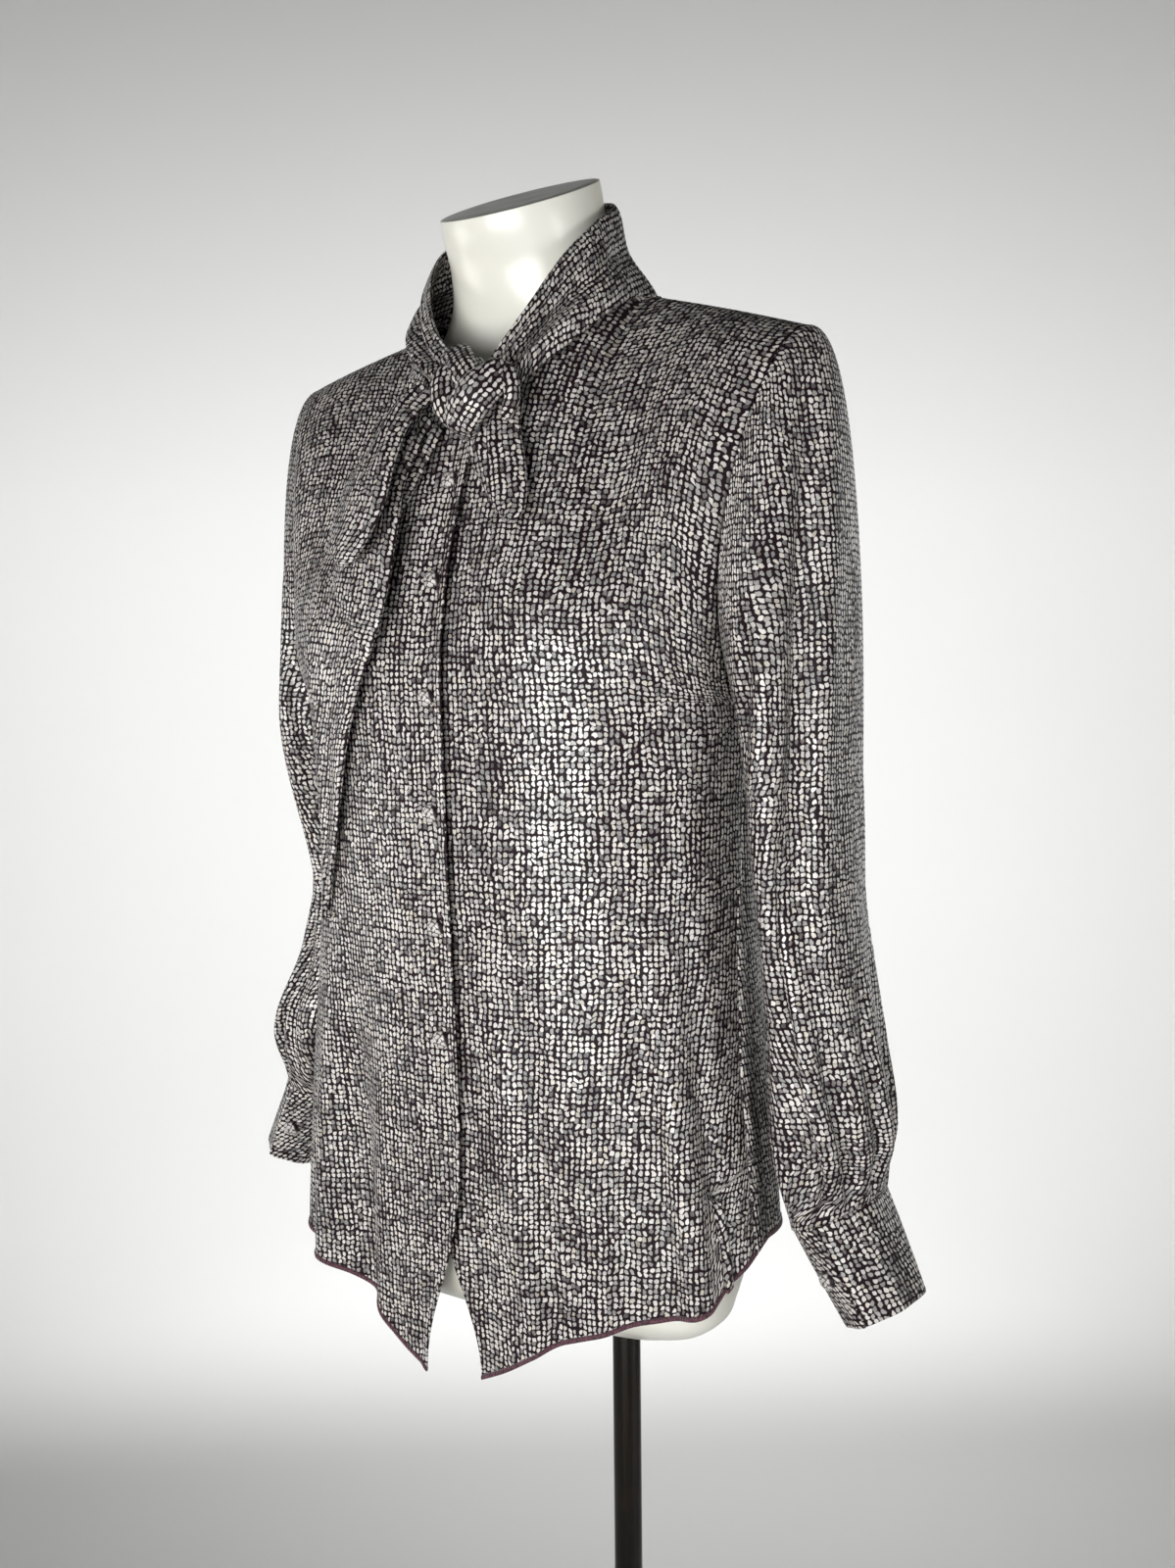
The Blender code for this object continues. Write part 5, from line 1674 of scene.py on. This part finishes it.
def stage_bowl():
    """A plain pale floor that curves up into a wall all round."""
    bpy.ops.object.select_all(action="DESELECT")
    floor_radius = STAGE_RADIUS - STAGE_BEND
    bpy.ops.mesh.primitive_circle_add(vertices=STAGE_SIDES, radius=floor_radius, fill_type="NGON")
    bowl = bpy.context.active_object
    bowl.name = "studio_floor"
    bpy.ops.object.mode_set(mode="EDIT")
    bpy.ops.mesh.select_mode(type="EDGE")
    bpy.ops.mesh.select_all(action="SELECT")
    radius, height = floor_radius, 0.0
    for k in range(1, STAGE_STEPS + 2):
        if k <= STAGE_STEPS:
            turn = k / STAGE_STEPS * math.pi / 2
            next_radius = floor_radius + STAGE_BEND * math.sin(turn)
            next_height = STAGE_BEND * (1 - math.cos(turn))
        else:
            next_radius, next_height = STAGE_RADIUS, STAGE_TOP
        bpy.ops.mesh.extrude_edges_move(
            TRANSFORM_OT_translate={"value": (0.0, 0.0, next_height - height)}
        )
        scale = next_radius / radius
        bpy.ops.transform.resize(value=(scale, scale, 1.0), center_override=(0.0, 0.0, next_height))
        radius, height = next_radius, next_height
    bpy.ops.object.mode_set(mode="OBJECT")
    bpy.ops.object.shade_smooth()
    bowl.data.materials.append(finish_named("backdrop_paper"))
    return bowl


def stage_lights():
    """Soft panels round the object, and two that light the wall and the floor behind it."""
    for row in LIGHTS:
        lamp = dict(zip(LIGHT_COLUMNS, row))
        data = bpy.data.lights.new(lamp["name"], "AREA")
        data.shape = "RECTANGLE"
        data.size = lamp["width"]
        data.size_y = lamp["tall"]
        data.energy = lamp["power"]
        data.spread = math.radians(lamp["spread"])
        thing = in_scene(lamp["name"], data)
        angle = math.radians(lamp["azimuth"])
        outward = Vector((math.sin(angle), -math.cos(angle), 0.0))
        place = outward * lamp["distance"] + Vector((0.0, 0.0, lamp["height"]))
        thing.location = place
        aim = outward * lamp["aim_out"] + Vector((0.0, 0.0, lamp["aim"])) - place
        thing.rotation_mode = "QUATERNION"
        thing.rotation_quaternion = aim.to_track_quat("-Z", "Y")
        thing.visible_camera = False
    world = bpy.data.worlds.new("studio")
    world.use_nodes = True
    background = world.node_tree.nodes["Background"]
    background.inputs["Color"].default_value = WORLD_COLOUR
    background.inputs["Strength"].default_value = WORLD_STRENGTH
    bpy.context.scene.world = world


def photo_camera():
    """The camera that sees the object as the photograph does."""
    data = bpy.data.cameras.new("camera")
    data.lens = CAMERA_LENS
    camera = in_scene("camera", data)
    across = Vector((math.cos(CAMERA_TURN), math.sin(CAMERA_TURN), 0.0))
    ahead = Vector(
        (
            -math.sin(CAMERA_TURN) * math.cos(CAMERA_PITCH),
            math.cos(CAMERA_TURN) * math.cos(CAMERA_PITCH),
            -math.sin(CAMERA_PITCH),
        )
    )
    up = across.cross(ahead)
    right = across * math.cos(CAMERA_ROLL) - up * math.sin(CAMERA_ROLL)
    over = across * math.sin(CAMERA_ROLL) + up * math.cos(CAMERA_ROLL)
    turn = Matrix((right, over, -ahead)).transposed().to_4x4()
    camera.matrix_world = Matrix.Translation(CAMERA_AT) @ turn
    data.clip_start = 0.05
    data.clip_end = 50.0
    bpy.context.scene.camera = camera


# Operators and panel


class BLOUSE_OT_fronts(bpy.types.Operator):
    """Make the two fronts with their hems"""

    bl_idname = "blouse.fronts"
    bl_label = "Fronts"

    def execute(self, context):
        front_cloth(-1)
        front_cloth(1)
        return {"FINISHED"}


class BLOUSE_OT_back(bpy.types.Operator):
    """Make the back with its hem"""

    bl_idname = "blouse.back"
    bl_label = "Back"

    def execute(self, context):
        back_cloth()
        return {"FINISHED"}


class BLOUSE_OT_sleeves(bpy.types.Operator):
    """Make the sleeves and their cuffs"""

    bl_idname = "blouse.sleeves"
    bl_label = "Sleeves and cuffs"

    def execute(self, context):
        for side in (1, -1):
            sleeve_cloth(side)
            cuff_cloth(side)
        return {"FINISHED"}


class BLOUSE_OT_tie(bpy.types.Operator):
    """Make the collar, the knot and the hanging ends of the tie"""

    bl_idname = "blouse.tie"
    bl_label = "Collar and tie"

    def execute(self, context):
        collar_cloth()
        tie_knot()
        tie_strips()
        return {"FINISHED"}


class BLOUSE_OT_buttons(bpy.types.Operator):
    """Make the covered buttons and their buttonholes"""

    bl_idname = "blouse.buttons"
    bl_label = "Buttons"

    def execute(self, context):
        buttons_and_holes()
        return {"FINISHED"}


class BLOUSE_OT_form(bpy.types.Operator):
    """Make the dress form's smooth shell"""

    bl_idname = "blouse.form"
    bl_label = "Dress form"

    def execute(self, context):
        smooth_form()
        return {"FINISHED"}


class BLOUSE_OT_stand(bpy.types.Operator):
    """Make the pole, its socket and the base"""

    bl_idname = "blouse.stand"
    bl_label = "Stand"

    def execute(self, context):
        stand_pieces()
        return {"FINISHED"}


class BLOUSE_OT_stage(bpy.types.Operator):
    """Set up the backdrop, the lights and the camera"""

    bl_idname = "blouse.stage"
    bl_label = "Stage"

    def execute(self, context):
        stage_bowl()
        stage_lights()
        photo_camera()
        context.scene.view_settings.view_transform = "Standard"
        return {"FINISHED"}


OPERATORS = (
    BLOUSE_OT_fronts,
    BLOUSE_OT_back,
    BLOUSE_OT_sleeves,
    BLOUSE_OT_tie,
    BLOUSE_OT_buttons,
    BLOUSE_OT_form,
    BLOUSE_OT_stand,
    BLOUSE_OT_stage,
)


class BLOUSE_PT_panel(bpy.types.Panel):
    """Lists the blouse's sizes, colours and pieces"""

    bl_idname = "BLOUSE_PT_panel"
    bl_label = "Tie neck blouse"
    bl_space_type = "VIEW_3D"
    bl_region_type = "UI"
    bl_category = "Blouse"

    def draw(self, context):
        for group in (context.scene.blouse_sizes, context.scene.blouse_colours):
            for name in group.__annotations__:
                self.layout.prop(group, name)
        for operator in OPERATORS:
            self.layout.operator(operator.bl_idname)


CLASSES = (BlouseSizes, BlouseColours, *OPERATORS, BLOUSE_PT_panel)


def register():
    for item in CLASSES:
        bpy.utils.register_class(item)
    bpy.types.Scene.blouse_sizes = bpy.props.PointerProperty(type=BlouseSizes)
    bpy.types.Scene.blouse_colours = bpy.props.PointerProperty(type=BlouseColours)


def unregister():
    del bpy.types.Scene.blouse_colours
    del bpy.types.Scene.blouse_sizes
    for item in reversed(CLASSES):
        bpy.utils.unregister_class(item)


def main():
    """Registers the classes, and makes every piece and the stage."""
    register()
    bpy.ops.blouse.fronts()
    bpy.ops.blouse.back()
    bpy.ops.blouse.sleeves()
    bpy.ops.blouse.tie()
    bpy.ops.blouse.buttons()
    bpy.ops.blouse.form()
    bpy.ops.blouse.stand()
    bpy.ops.blouse.stage()


if __name__ == "__main__":
    main()
